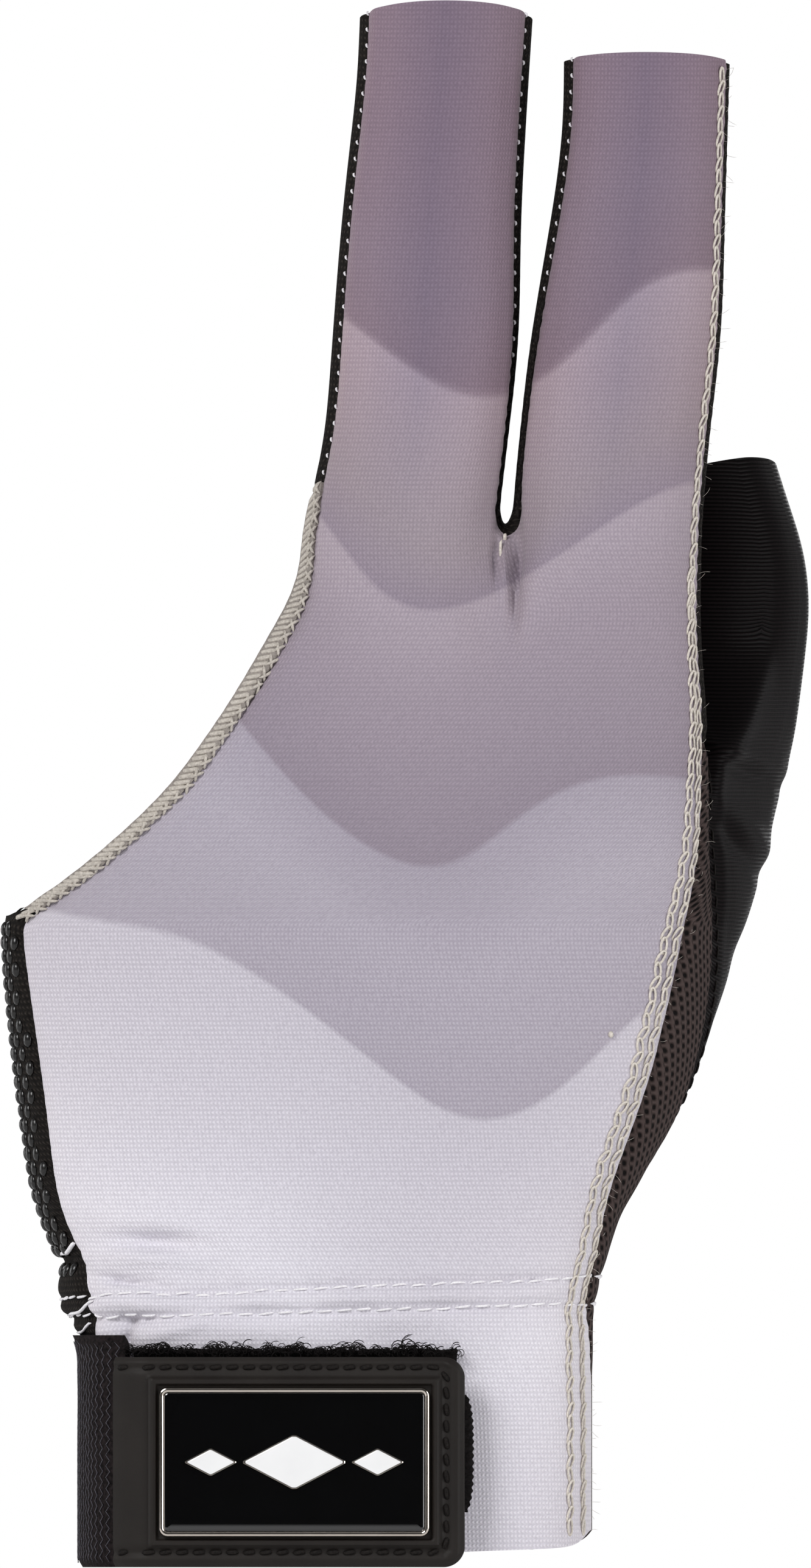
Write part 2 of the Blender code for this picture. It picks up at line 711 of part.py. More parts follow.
def thumb_point(height, turn):
    """Point of the thumb's tube at a height and a turn round it."""
    middle_x = smooth_at(THUMB, "height", "middle", height)
    middle_y = smooth_at(THUMB, "height", "back_off", height)
    half_width = smooth_at(THUMB, "height", "half_width", height)
    half_depth = smooth_at(THUMB, "height", "half_depth", height)
    across = half_width * math.sin(math.radians(turn))
    back = -half_depth * math.cos(math.radians(turn))
    lean_x, lean_y = thumb_lean(height)
    drop = across * lean_x + back * lean_y
    return Vector((middle_x + across, middle_y + back, height - drop))


def thumb_fold_rise(turn, height):
    """Outward shift of the thumb's cloth from its folds."""
    rise = 0.0
    for row in THUMB_FOLD_ROWS:
        fold = dict(zip(THUMB_FOLD_COLUMNS, row))
        aside = height - THUMB_HOLE_BOTTOM - fold["height"] * THUMB_LENGTH
        away = (turn - fold["turn"] + 180.0) % 360.0 - 180.0
        rise += fold["rise"] * THUMB_DEPTH * math.exp(
            -(aside / (fold["width"] * THUMB_LENGTH)) ** 2 - (away / fold["span"]) ** 2
        )
    return rise


def thumb_grid(grid):
    """Add the thumb's points to the grid and return its cells."""
    loop = thumb_hole(grid)
    keys = [key for key, turn in loop]
    for count in range(HOLE_ROUNDING):
        ring = [grid[key].copy() for key in keys]
        for place, key in enumerate(keys):
            beside = ring[place - 1] + ring[(place + 1) % len(ring)]
            grid[key] = (2 * ring[place] + beside) / 4
    base = THUMB[0]["height"]
    lean_x, lean_y = thumb_lean(base)
    rise = Vector((lean_x, lean_y, 1.0)).normalized()
    far = grid["hand", HAND_LEVELS.index(THUMB_HOLE_BOTTOM), PALM_RIGHT + THUMB_HOLE_CELLS]
    middle = sum((grid[key] for key in keys), Vector()) / len(keys)
    for place, (key, turn) in enumerate(loop):
        start = grid[key]
        end = thumb_point(base, turn)
        outward = Vector((max(start.x - far.x, 0.0), start.y, 0.0)).normalized()
        inward = Vector((middle.x - start.x, middle.y - start.y, 0.0)).normalized()
        crotch = ease(start.z, THUMB_HOLE_TOP - CROTCH_HEIGHT, THUMB_HOLE_TOP)
        swing = math.radians(THUMB_SWING + THUMB_CROTCH_SWING * crotch)
        reach = (end - start).length * (1.0 - CROTCH_SHORTENING * crotch)
        leave = outward * math.sin(swing) + inward * THUMB_DRAW_IN * (1.0 - crotch)
        leave += Vector((0.0, 0.0, math.cos(swing)))
        leave = leave.normalized() * reach
        arrive = rise * reach
        for row in range(1, THUMB_LOFT_ROWS + 1):
            t = row / THUMB_LOFT_ROWS
            point = (
                start * (2 * t ** 3 - 3 * t * t + 1)
                + leave * (t ** 3 - 2 * t * t + t)
                + end * (3 * t * t - 2 * t ** 3)
                + arrive * (t ** 3 - t * t)
            )
            shift = thumb_fold_rise(turn, point.z) * math.sin(math.pi * t)
            side = Vector((math.sin(math.radians(turn)), -math.cos(math.radians(turn)), 0.0))
            grid["thumb", row, place] = point + side * shift
    rows = [row["height"] for row in THUMB][1:]
    for place, (key, turn) in enumerate(loop):
        for row, height in enumerate(rows):
            grid["thumb", THUMB_LOFT_ROWS + 1 + row, place] = thumb_point(height, turn)
    last = THUMB_LOFT_ROWS + len(rows)
    cells = []

    def at(row, place):
        place %= len(loop)
        return loop[place][0] if row == 0 else ("thumb", row, place)

    for row in range(last):
        for place in range(len(loop)):
            cells.append((at(row, place), at(row, place + 1), at(row + 1, place + 1), at(row + 1, place)))
    return cells


def skin_normals(grid, faces):
    """Outward direction at every point of the grid, the same for all the panels that share it."""
    normals = {key: Vector((0.0, 0.0, 0.0)) for key in grid}
    for cells in faces.values():
        for cell in cells:
            a, b, c, d = (grid[key] for key in cell)
            flat = (c - a).cross(d - b)
            for key in cell:
                normals[key] += flat
    return {key: value.normalized() for key, value in normals.items() if value.length > 0}


def pulled_in(grid, normals, cells, gap):
    """Points of one panel, with its edge drawn back from the sewing line by half the gap."""
    points = {}
    sides = set()
    for cell in cells:
        for i, key in enumerate(cell):
            points[key] = grid[key].copy()
            sides.add((key, cell[(i + 1) % 4]))
    edges = [side for side in sides if (side[1], side[0]) not in sides]
    edges.sort(key=str)
    onward = {start: end for start, end in edges}
    before = {end: start for start, end in edges}
    slot = ("hand", len(HAND_LEVELS) - 1, SLOT_COLUMN)
    for key in onward:
        arriving = normals[key].cross(grid[key] - grid[before[key]]).normalized()
        leaving = normals[key].cross(grid[onward[key]] - grid[key]).normalized()
        inward = (arriving + leaving) / max(1.0 + arriving.dot(leaving), 0.5)
        near_slot = (grid[key] - grid[slot]).length < SLOT_EASE
        points[key] += inward * gap * (1.0 if near_slot else 0.5)
    return points, edges


def panel_mesh(name, grid, normals, cells, wall, proud=0.0):
    """Closed mesh of one panel: an outer and an inner face, joined round the edge."""
    points, edges = pulled_in(grid, normals, cells, SEWING_GAP)
    shell = bmesh.new()
    outer = {}
    inner = {}
    for key, point in points.items():
        outer[key] = shell.verts.new(point + normals[key] * proud)
        inner[key] = shell.verts.new(point - normals[key] * (wall - proud))
    for cell in cells:
        shell.faces.new([outer[key] for key in cell])
        shell.faces.new([inner[key] for key in reversed(cell)])
    for start, end in edges:
        shell.faces.new((outer[end], outer[start], inner[start], inner[end]))
    mesh = bpy.data.meshes.new(name)
    shell.to_mesh(mesh)
    shell.free()
    return mesh


def material(name, colour, roughness, metallic=0.0, coat=0.0):
    """Plain Principled material."""
    made = bpy.data.materials.new(name)
    made.use_nodes = True
    shader = made.node_tree.nodes["Principled BSDF"]
    shader.inputs["Base Color"].default_value = (*colour, 1.0)
    shader.inputs["Roughness"].default_value = roughness
    shader.inputs["Metallic"].default_value = metallic
    shader.inputs["Coat Weight"].default_value = coat
    return made


def add_object(name, mesh, finish, collection, smooth_angle=40.0):
    """Put a mesh in the scene as a named sub-part with its finish."""
    mesh.materials.append(finish)
    mesh.shade_smooth()
    mesh.set_sharp_from_angle(angle=math.radians(smooth_angle))
    made = bpy.data.objects.new(name, mesh)
    collection.objects.link(made)
    return made


def cuff_face(x, height=0.0):
    """Place of the cuff's outer face at x and a height, and the direction out of it."""
    section = hand_section(height)
    angle = angle_at(section, x)
    point = section_point(section, angle)
    ahead = section_point(section, angle + 1.0) - section_point(section, angle - 1.0)
    return point, Vector((ahead.y, -ahead.x, 0.0)).normalized()


TAB_LEFT = TAB_FROM_SIDE - CUFF_WIDTH / 2
TAB_RIGHT = TAB_LEFT + TAB_WIDTH
TAB_TOP = TAB_BOTTOM + TAB_HEIGHT
BADGE_RIGHT = TAB_RIGHT - BADGE_FROM_RIGHT
BADGE_LEFT = BADGE_RIGHT - BADGE_WIDTH
BADGE_TOP = TAB_TOP - BADGE_FROM_TOP
BADGE_BOTTOM = BADGE_TOP - BADGE_HEIGHT
LOOP_TO_STRAP = LAYER_GAP + LOOP_WALL + LAYER_GAP
STACK = LOOP_TO_STRAP + max(HOOK_WALL, ELASTIC_WALL) + LAYER_GAP


def tab_plane():
    """Flat seat of the tab behind the badge: a point and a slope across, just off the cuff."""
    left = BADGE_LEFT - FRAME_BAND
    right = BADGE_RIGHT + FRAME_BAND
    slope = (cuff_face(right)[0].y - cuff_face(left)[0].y) / (right - left)
    across = [left + (right - left) * i / 24 for i in range(25)]
    base = min(cuff_face(x)[0].y - slope * x for x in across)
    return base, slope


TAB_BASE, TAB_SLOPE = tab_plane()


def strap_face(x, off):
    """Point of the strap's layers at x, off the cuff by a distance: flat behind the badge."""
    flat = Vector((x, TAB_BASE + TAB_SLOPE * x, 0.0))
    flat_out = Vector((TAB_SLOPE, -1.0, 0.0)).normalized()
    round_point, round_out = cuff_face(x)
    bend = ease(BADGE_LEFT - FRAME_BAND - x, 0.0, TAB_BEND)
    point = flat.lerp(round_point, bend)
    out = flat_out.lerp(round_out, bend).normalized()
    return point + out * off


def corner_reach(x, low, high, radius, left, right, round_left, round_right):
    """Lowest and highest height of a plate at x, with its corners rounded."""
    inset = 0.0
    if round_right and x > right - radius:
        inset = radius - math.sqrt(max(radius ** 2 - (x - right + radius) ** 2, 0.0))
    if round_left and x < left + radius:
        inset = radius - math.sqrt(max(radius ** 2 - (left + radius - x) ** 2, 0.0))
    return low + inset, high - inset


def plate_mesh(name, columns, rows, place, inner_off, outer_off):
    """Closed mesh of a plate over a grid: place(i, j, off) gives its points."""
    shell = bmesh.new()
    outer = [[shell.verts.new(place(i, j, outer_off(i, j))) for j in range(rows)] for i in range(columns)]
    inner = [[shell.verts.new(place(i, j, inner_off)) for j in range(rows)] for i in range(columns)]
    for i in range(columns - 1):
        for j in range(rows - 1):
            shell.faces.new((outer[i][j], outer[i + 1][j], outer[i + 1][j + 1], outer[i][j + 1]))
            shell.faces.new((inner[i][j], inner[i][j + 1], inner[i + 1][j + 1], inner[i + 1][j]))
    border = [(i, 0) for i in range(columns)]
    border += [(columns - 1, j) for j in range(1, rows)]
    border += [(i, rows - 1) for i in range(columns - 2, -1, -1)]
    border += [(0, j) for j in range(rows - 2, 0, -1)]
    for (i, j), (k, m) in zip(border, border[1:] + border[:1]):
        shell.faces.new((outer[i][j], inner[i][j], inner[k][m], outer[k][m]))
    mesh = bpy.data.meshes.new(name)
    shell.to_mesh(mesh)
    shell.free()
    return mesh


def strip_mesh(name, left, right, low, high, off, wall, follow_cuff, radius=0.0, cells=12, rises=3):
    """Plate that lies along the cuff or the strap's flat seat, with its right corners rounded."""
    span = right - left
    xs = [left + span * i / cells for i in range(cells + 1)]
    if radius > 0:
        xs = [x for x in xs if x < right - radius]
        xs += [right - radius * (1 - math.sin(math.radians(turn))) for turn in (0, 30, 60, 80)]

    def place(i, j, away):
        bottom, top = corner_reach(xs[i], low, high, radius, left, right, False, radius > 0)
        height = bottom + (top - bottom) * j / rises
        if follow_cuff:
            point, out = cuff_face(xs[i], height)
            spot = point + out * away
        else:
            spot = strap_face(xs[i], away)
        spot.z = height
        return spot

    return plate_mesh(name, len(xs), rises + 1, place, off, lambda i, j: off + wall)


def tab_mesh(name):
    """Rubber tab: a plate with a raised frame round the badge's seat."""
    ramp = FRAME_RAMP
    gap = BADGE_CLEARANCE
    xs = [TAB_LEFT, TAB_LEFT + 0.4 * TAB_BEND]
    xs += [BADGE_LEFT - gap - FRAME_BAND, BADGE_LEFT - gap - FRAME_BAND + ramp]
    xs += [BADGE_LEFT - gap - ramp, BADGE_LEFT - gap]
    xs += [BADGE_LEFT + BADGE_WIDTH * i / 6 for i in range(1, 6)]
    xs += [BADGE_RIGHT + gap, BADGE_RIGHT + gap + ramp]
    xs += [BADGE_RIGHT + gap + FRAME_BAND - ramp, BADGE_RIGHT + gap + FRAME_BAND]
    round_start = TAB_RIGHT - TAB_CORNER
    xs += [round_start + TAB_CORNER * math.sin(math.radians(turn)) for turn in (15, 35, 55, 75, 88)]
    zs = [TAB_BOTTOM, BADGE_BOTTOM - gap - FRAME_BAND, BADGE_BOTTOM - gap - FRAME_BAND + ramp]
    zs += [BADGE_BOTTOM - gap - ramp, BADGE_BOTTOM - gap]
    zs += [BADGE_BOTTOM + BADGE_HEIGHT * i / 3 for i in (1, 2)]
    zs += [BADGE_TOP + gap, BADGE_TOP + gap + ramp]
    zs += [BADGE_TOP + gap + FRAME_BAND - ramp, BADGE_TOP + gap + FRAME_BAND, TAB_TOP]
    outside = gap + FRAME_BAND - 0.5 * ramp
    inside = gap + 0.5 * ramp

    def height(i, j):
        beyond = max(
            BADGE_LEFT - xs[i], xs[i] - BADGE_RIGHT, BADGE_BOTTOM - zs[j], zs[j] - BADGE_TOP
        )
        raised = FRAME_RISE if inside < beyond < outside else 0.0
        return STACK + TAB_WALL + raised

    def place(i, j, away):
        bottom, top = corner_reach(xs[i], TAB_BOTTOM, TAB_TOP, TAB_CORNER, TAB_LEFT, TAB_RIGHT, False, True)
        spot = strap_face(xs[i], away)
        spot.z = min(max(zs[j], bottom), top)
        if bottom > TAB_BOTTOM:
            spot.z = bottom + (top - bottom) * (zs[j] - TAB_BOTTOM) / TAB_HEIGHT
        return spot

    return plate_mesh(name, len(xs), len(zs), place, STACK, height)


def elastic_mesh(name):
    """Elastic band from the tab's left edge, round the left side of the cuff, to the palm."""
    cells = 18
    rises = (0.0, 0.25, 0.5, 0.7, 0.82, 0.92, 1.0)
    section = hand_section(TAB_BOTTOM + TAB_HEIGHT / 2)
    start = angle_at(section, TAB_LEFT + ELASTIC_OVERLAP)
    tab_edge = angle_at(section, TAB_LEFT)
    end = ELASTIC_END_ANGLE - 360.0
    low = TAB_BOTTOM
    high = TAB_BOTTOM + ELASTIC_HEIGHT

    def place(i, j, away):
        height = low + (high - low) * rises[j]
        ring = hand_section(max(height + MOUTH_SLOPE * CUFF_WIDTH / 2, 0.0))
        angle = start + (end - start) * i / cells
        lift = (LOOP_TO_STRAP - LAYER_GAP) * (1.0 - ease(tab_edge - angle, 0.0, 30.0))
        point = section_point(ring, angle)
        ahead = section_point(ring, angle + 1.0) - section_point(ring, angle - 1.0)
        out = Vector((ahead.y, -ahead.x, 0.0)).normalized()
        spot = point + out * (away + lift)
        spot.z = height
        return spot

    outer = LAYER_GAP + ELASTIC_WALL
    mesh = plate_mesh(name, cells + 1, len(rises), place, LAYER_GAP, lambda i, j: outer)
    mesh.flip_normals()
    return mesh


def badge_point(x, z, off):
    """Point of the badge at x and z, off its seat in the tab by a distance."""
    spot = strap_face(x, STACK + TAB_WALL + off)
    spot.z = z
    return spot


def badge_tray(name):
    """Metal tray of the badge: a floor with a rim round it."""
    rim = BADGE_RIM
    ramp = BADGE_RAMP
    xs = [BADGE_LEFT, BADGE_LEFT + rim, BADGE_LEFT + rim + ramp]
    xs += [BADGE_RIGHT - rim - ramp, BADGE_RIGHT - rim, BADGE_RIGHT]
    zs = [BADGE_BOTTOM, BADGE_BOTTOM + rim, BADGE_BOTTOM + rim + ramp]
    zs += [BADGE_TOP - rim - ramp, BADGE_TOP - rim, BADGE_TOP]

    def height(i, j):
        inside = 1 < i < len(xs) - 2 and 1 < j < len(zs) - 2
        return LAYER_GAP + (BADGE_FLOOR if inside else BADGE_DEPTH)

    def place(i, j, away):
        return badge_point(xs[i], zs[j], away)

    return plate_mesh(name, len(xs), len(zs), place, LAYER_GAP, height)


def enamel_plate(name):
    """Enamel field in the tray, level with just under the rim."""
    inset = BADGE_RIM + BADGE_RAMP + BADGE_CLEARANCE
    xs = (BADGE_LEFT + inset, BADGE_RIGHT - inset)
    zs = (BADGE_BOTTOM + inset, BADGE_TOP - inset)
    low = LAYER_GAP + BADGE_FLOOR + BADGE_CLEARANCE
    high = LAYER_GAP + BADGE_DEPTH - ENAMEL_DROP
    return plate_mesh(name, 2, 2, lambda i, j, away: badge_point(xs[i], zs[j], away), low, lambda i, j: high)


def lozenge(name, middle_x, length, height):
    """Raised lozenge with a bevelled edge, just off the enamel."""
    low = LAYER_GAP + BADGE_DEPTH - ENAMEL_DROP + 0.5 * BADGE_CLEARANCE
    middle_z = (BADGE_TOP + BADGE_BOTTOM) / 2
    shell = bmesh.new()
    rings = []
    for share, off in ((1.0, low), (1.0, low + EMBLEM_SIDE), (EMBLEM_BEVEL, low + EMBLEM_RISE)):
        ring = []
        for turn in range(4):
            across = share * length / 2 * math.cos(turn * math.pi / 2)
            rise = share * height / 2 * math.sin(turn * math.pi / 2)
            ring.append(shell.verts.new(badge_point(middle_x + across, middle_z + rise, off)))
        rings.append(ring)
    for lower, upper in zip(rings, rings[1:]):
        for i in range(4):
            k = (i + 1) % 4
            shell.faces.new((lower[i], lower[k], upper[k], upper[i]))
    shell.faces.new(rings[-1])
    shell.faces.new(rings[0][::-1])
    mesh = bpy.data.meshes.new(name)
    shell.to_mesh(mesh)
    shell.free()
    return mesh


def build():
    """Make the glove."""
    for old in list(bpy.data.objects):
        bpy.data.objects.remove(old, do_unlink=True)
    glove = bpy.data.collections.new("billiard_glove")
    bpy.context.scene.collection.children.link(glove)

    grid = hand_points()
    faces = hand_faces()
    faces["thumb_sleeve"] = thumb_grid(grid)
    normals = skin_normals(grid, faces)

    printed = material("printed_stretch_cloth", (0.50, 0.47, 0.52), 0.80)
    grip = material("grip_cloth", (0.020, 0.019, 0.020), 0.85)
    mesh_knit = material("mesh_knit", (0.030, 0.024, 0.022), 0.90)
    sleek = material("sleek_stretch_cloth", (0.012, 0.012, 0.013), 0.45)
    thread = material("pale_thread", (0.60, 0.57, 0.52), 0.80)
    loop_pile = material("loop_pile", (0.012, 0.012, 0.014), 0.95)
    woven_hook = material("woven_hook", (0.016, 0.016, 0.018), 0.80)
    elastic = material("elastic_knit", (0.020, 0.020, 0.024), 0.85)
    rubber = material("soft_rubber", (0.024, 0.021, 0.020), 0.60)
    nickel = material("polished_nickel", (0.78, 0.72, 0.68), 0.15, 1.0)
    enamel = material("black_enamel", (0.004, 0.004, 0.005), 0.08, 0.0, 1.0)
    white = material("white_enamel", (0.80, 0.80, 0.80), 0.20, 0.0, 1.0)

    cloths = {"back_panel": printed, "palm_panel": grip, "side_gusset": mesh_knit, "thumb_sleeve": sleek}
    for name, cloth in cloths.items():
        mesh = panel_mesh(name, grid, normals, faces[name], FABRIC_WALL)
        add_object(name, mesh, cloth, glove, 60.0)
    proud = (HEM_WALL - FABRIC_WALL) / 2
    hem = panel_mesh("opening_hem", grid, normals, faces["opening_hem"], HEM_WALL, proud)
    add_object("opening_hem", hem, thread, glove, 60.0)

    loops = strip_mesh(
        "loop_patch", TAB_LEFT + LOOP_MARGIN, TAB_RIGHT - LOOP_MARGIN, LOOP_BOTTOM, LOOP_TOP,
        LAYER_GAP, LOOP_WALL, True,
    )
    add_object("loop_patch", loops, loop_pile, glove)
    hooks = strip_mesh(
        "hook_strip", BADGE_LEFT - FRAME_BAND, TAB_RIGHT + HOOK_OVERHANG, HOOK_BOTTOM,
        HOOK_BOTTOM + HOOK_HEIGHT, STACK - LAYER_GAP - HOOK_WALL, HOOK_WALL, False,
    )
    add_object("hook_strip", hooks, woven_hook, glove)
    add_object("strap_elastic", elastic_mesh("strap_elastic"), elastic, glove)
    add_object("strap_tab", tab_mesh("strap_tab"), rubber, glove, 30.0)
    add_object("badge_frame", badge_tray("badge_frame"), nickel, glove, 30.0)
    add_object("badge_enamel", enamel_plate("badge_enamel"), enamel, glove, 30.0)
    middle_x = (BADGE_LEFT + BADGE_RIGHT) / 2
    apart = (1 + EMBLEM_SMALL) * EMBLEM_LENGTH / 2 + EMBLEM_GAP
    for number, side, share in ((1, -1, EMBLEM_SMALL), (2, 0, 1.0), (3, 1, EMBLEM_SMALL)):
        name = f"badge_emblem_{number}"
        mesh = lozenge(name, middle_x + side * apart, EMBLEM_LENGTH * share, EMBLEM_HEIGHT * share)
        add_object(name, mesh, white, glove, 20.0)


build()
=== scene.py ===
"""Looks of the billiard glove: its cloths, threads, strap and badge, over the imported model.

The skin is made from the same sections as the model's panels, and then made finer. Everything is in
metres: fingers point along +Z, the back of the hand faces -Y and the thumb is at +X.
"""
import math
import random

import bmesh
import bpy
import numpy as np
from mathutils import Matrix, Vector
from mathutils.bvhtree import BVHTree
from mathutils.kdtree import KDTree


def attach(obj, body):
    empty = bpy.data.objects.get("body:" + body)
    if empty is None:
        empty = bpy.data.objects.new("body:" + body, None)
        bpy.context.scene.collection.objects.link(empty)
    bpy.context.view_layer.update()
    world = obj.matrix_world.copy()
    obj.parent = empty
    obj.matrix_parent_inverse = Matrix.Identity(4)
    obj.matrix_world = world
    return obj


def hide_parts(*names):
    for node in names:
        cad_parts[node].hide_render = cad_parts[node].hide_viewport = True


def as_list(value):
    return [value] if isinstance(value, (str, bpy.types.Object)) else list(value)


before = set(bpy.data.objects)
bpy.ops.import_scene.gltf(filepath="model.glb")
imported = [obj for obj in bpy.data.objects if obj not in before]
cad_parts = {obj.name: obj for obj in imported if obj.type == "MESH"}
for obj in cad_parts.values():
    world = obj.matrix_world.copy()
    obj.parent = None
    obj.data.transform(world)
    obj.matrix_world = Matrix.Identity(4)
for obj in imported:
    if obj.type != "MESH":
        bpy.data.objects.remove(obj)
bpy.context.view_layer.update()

# Driving dimensions of the hand
CUFF_LENGTH = 0.0282
CUFF_WIDTH = 0.0640
CUFF_DEPTH = 0.0420
PALM_LENGTH = 0.1018
PALM_WIDTH = 0.0903
PALM_DEPTH = 0.0310
SLOT_X = 0.2315 * PALM_WIDTH
MOUTH_SLOPE = 0.036

# Driving dimensions of the fingers and the thumb
MIDDLE_LENGTH = 0.0658
MIDDLE_WIDTH = 0.0230
INDEX_LENGTH = 0.0604
INDEX_WIDTH = 0.0220
FINGER_DEPTH = 0.0200
THUMB_LENGTH = 0.0875
THUMB_WIDTH = 0.0224
THUMB_DEPTH = 0.0196
THUMB_REACH = 0.0266

# Openings in the skin, as heights above the cuff's mouth and places across the palm
THUMB_HOLE_BOTTOM = CUFF_LENGTH + 0.2024 * PALM_LENGTH
THUMB_HOLE_TOP = CUFF_LENGTH + 0.7446 * PALM_LENGTH
OPENING_BOTTOM = CUFF_LENGTH + 0.5255 * PALM_LENGTH
OPENING_ABOVE_SLOT = 0.0060
OPENING_TOP = CUFF_LENGTH + PALM_LENGTH + OPENING_ABOVE_SLOT
OPENING_CORNER_X = -0.4596 * PALM_WIDTH
OPENING_REACH = 0.4219 * PALM_WIDTH

# Cloth
HEM_WIDTH = 0.0020
SEWING_GAP = 0.0003
WEB_RISE = 0.0012

# Strap, tab and badge
LAYER_GAP = 0.00025
LOOP_WALL = 0.0010
HOOK_WALL = 0.0009
ELASTIC_WALL = 0.0013
TAB_WALL = 0.0016
TAB_WIDTH = 0.0430
TAB_HEIGHT = 0.0268
TAB_BOTTOM = -0.0014
TAB_FROM_SIDE = 0.0049
TAB_CORNER = 0.0027
TAB_BEND = 0.0040
FRAME_BAND = 0.0013
FRAME_RISE = 0.0007
BADGE_WIDTH = 0.0345
BADGE_HEIGHT = 0.0190
BADGE_FROM_RIGHT = 0.0044
BADGE_FROM_TOP = 0.0039
BADGE_DEPTH = 0.0012
BADGE_FLOOR = 0.0005
BADGE_CLEARANCE = 0.0002
ENAMEL_DROP = 0.0002
EMBLEM_RISE = 0.0005
EMBLEM_LENGTH = 0.0130
EMBLEM_HEIGHT = 0.0068
EMBLEM_GAP = 0.0009
EMBLEM_SMALL = 0.5
ELASTIC_HEIGHT = 0.0296
ELASTIC_END_ANGLE = 215.0
ELASTIC_OVERLAP = 0.0006
HOOK_OVERHANG = 0.0009
HOOK_BOTTOM = 0.0056
HOOK_HEIGHT = 0.0150
LOOP_TOP = 0.0264
LOOP_BOTTOM = 0.0006
LOOP_MARGIN = 0.0012

# Columns of the grid round the hand and cells across each of its stretches
FRONT_CELLS = 16
SIDE_CELLS = 4
OUTER_CELLS = 3
WEB_CELLS = 3
THUMB_HOLE_CELLS = 3
GUSSET_CELLS = 2
SLOT_COLUMN = FRONT_CELLS // 2
PALM_RIGHT = FRONT_CELLS + SIDE_CELLS
PALM_LEFT = PALM_RIGHT + FRONT_CELLS
RING_COLUMNS = PALM_LEFT + OUTER_CELLS
PALM_SLOT = PALM_RIGHT + SLOT_COLUMN

# Angles round a section in degrees, from the middle of the back towards the thumb side
GUSSET_ANGLE = 90.0
PALM_RIGHT_ANGLE = 130.0
FINGER_SEAM_LEFT = -67.0
FINGER_SEAM_INNER = 74.0
FINGER_SEAM_RIGHT = 87.5
FINGER_PALM_ANGLE = 120.0
# By how much the grey cloth goes further round beside the slot's foot
SLOT_WRAP = 12.0

# How square the sections are
PALM_SQUARENESS = 2.4
FINGER_SQUARENESS = 2.15

# Length over which the palm turns into the fingers
KNUCKLE_LENGTH = 0.0200

# Rounded corner that the mouth's edge has at the right: its radius, and its start in radii off the side
MOUTH_CORNER = 0.0022
MOUTH_CORNER_START = 1.25

HAND_COLUMNS = ("height", "left", "right", "seam_left", "seam_right", "back", "palm", "square")

# Shares of CUFF_LENGTH, CUFF_WIDTH and CUFF_DEPTH, from the middle of the mouth
CUFF_ROWS = (
    (0.00, -0.500, 0.500, -0.460, 0.4998, -0.500, 0.500, 4.4),
    (0.55, -0.500, 0.500, -0.465, 0.4998, -0.500, 0.495, 4.4),
    (0.85, -0.500, 0.500, -0.470, 0.4998, -0.498, 0.480, 4.3),
    (1.00, -0.506, 0.500, -0.485, 0.498, -0.488, 0.464, 4.0),
)

# Shares of PALM_LENGTH, PALM_WIDTH and PALM_DEPTH, from the top of the cuff
PALM_ROWS = (
    (0.024, -0.381, 0.358, -0.351, 0.350, -0.634, 0.606, 3.7),
    (0.057, -0.392, 0.365, -0.352, 0.355, -0.619, 0.574, 3.4),
    (0.096, -0.398, 0.380, -0.365, 0.368, -0.600, 0.548, 3.2),
    (0.150, -0.423, 0.401, -0.393, 0.379, -0.577, 0.523, 3.0),
    (0.204, -0.442, 0.446, -0.410, 0.394, -0.555, 0.510, 2.8),
    (0.273, -0.454, 0.483, -0.419, 0.421, -0.542, 0.503, 2.7),
    (0.352, -0.466, 0.512, -0.432, 0.449, -0.532, 0.500, 2.6),
    (0.460, -0.477, 0.527, -0.451, 0.477, -0.523, 0.490, 2.6),
    (0.529, -0.480, 0.526, -0.461, 0.496, -0.516, 0.484, 2.6),
    (0.607, -0.476, 0.519, -0.461, 0.512, -0.510, 0.477, 2.6),
    (0.691, -0.432, 0.519, -0.420, 0.515, -0.494, 0.465, 2.6),
    (0.774, -0.365, 0.517, -0.350, 0.5155, -0.471, 0.442, 2.6),
    (0.862, -0.255, 0.509, -0.245, 0.508, -0.429, 0.406, 2.5),
    (0.941, -0.122, 0.506, -0.110, 0.505, -0.387, 0.361, 2.4),
    (1.000, -0.054, 0.508, -0.048, 0.507, -0.348, 0.329, 2.4),
)

FINGER_COLUMNS = ("height", "left", "right", "lean", "half_depth")

# Shares of MIDDLE_LENGTH, MIDDLE_WIDTH from the slot, and FINGER_DEPTH
MIDDLE_ROWS = (
    (0.000, -1.122, -0.030, 0.000, 0.510),
    (0.053, -1.087, -0.035, 0.005, 0.500),
    (0.122, -1.039, -0.004, 0.020, 0.490),
    (0.198, -1.004, 0.017, 0.045, 0.480),
    (0.380, -0.965, 0.074, 0.120, 0.470),
    (0.608, -0.913, 0.087, 0.260, 0.455),
    (0.783, -0.857, 0.113, 0.390, 0.445),
    (0.912, -0.817, 0.135, 0.505, 0.435),
    (1.000, -0.811, 0.152, 0.595, 0.430),
)

# Shares of INDEX_LENGTH, INDEX_WIDTH from the slot, and FINGER_DEPTH
INDEX_ROWS = (
    (0.000, 0.032, 1.136, 0.000, 0.510),
    (0.058, 0.050, 1.145, 0.000, 0.500),
    (0.132, 0.059, 1.164, 0.010, 0.490),
    (0.248, 0.095, 1.191, 0.025, 0.475),
    (0.414, 0.145, 1.250, 0.065, 0.465),
    (0.546, 0.205, 1.264, 0.110, 0.455),
    (0.690, 0.268, 1.273, 0.170, 0.450),
    (0.828, 0.327, 1.286, 0.235, 0.440),
    (1.000, 0.336, 1.300, 0.325, 0.430),
)

THUMB_COLUMNS = ("height", "middle", "back_off", "half_width", "half_depth")

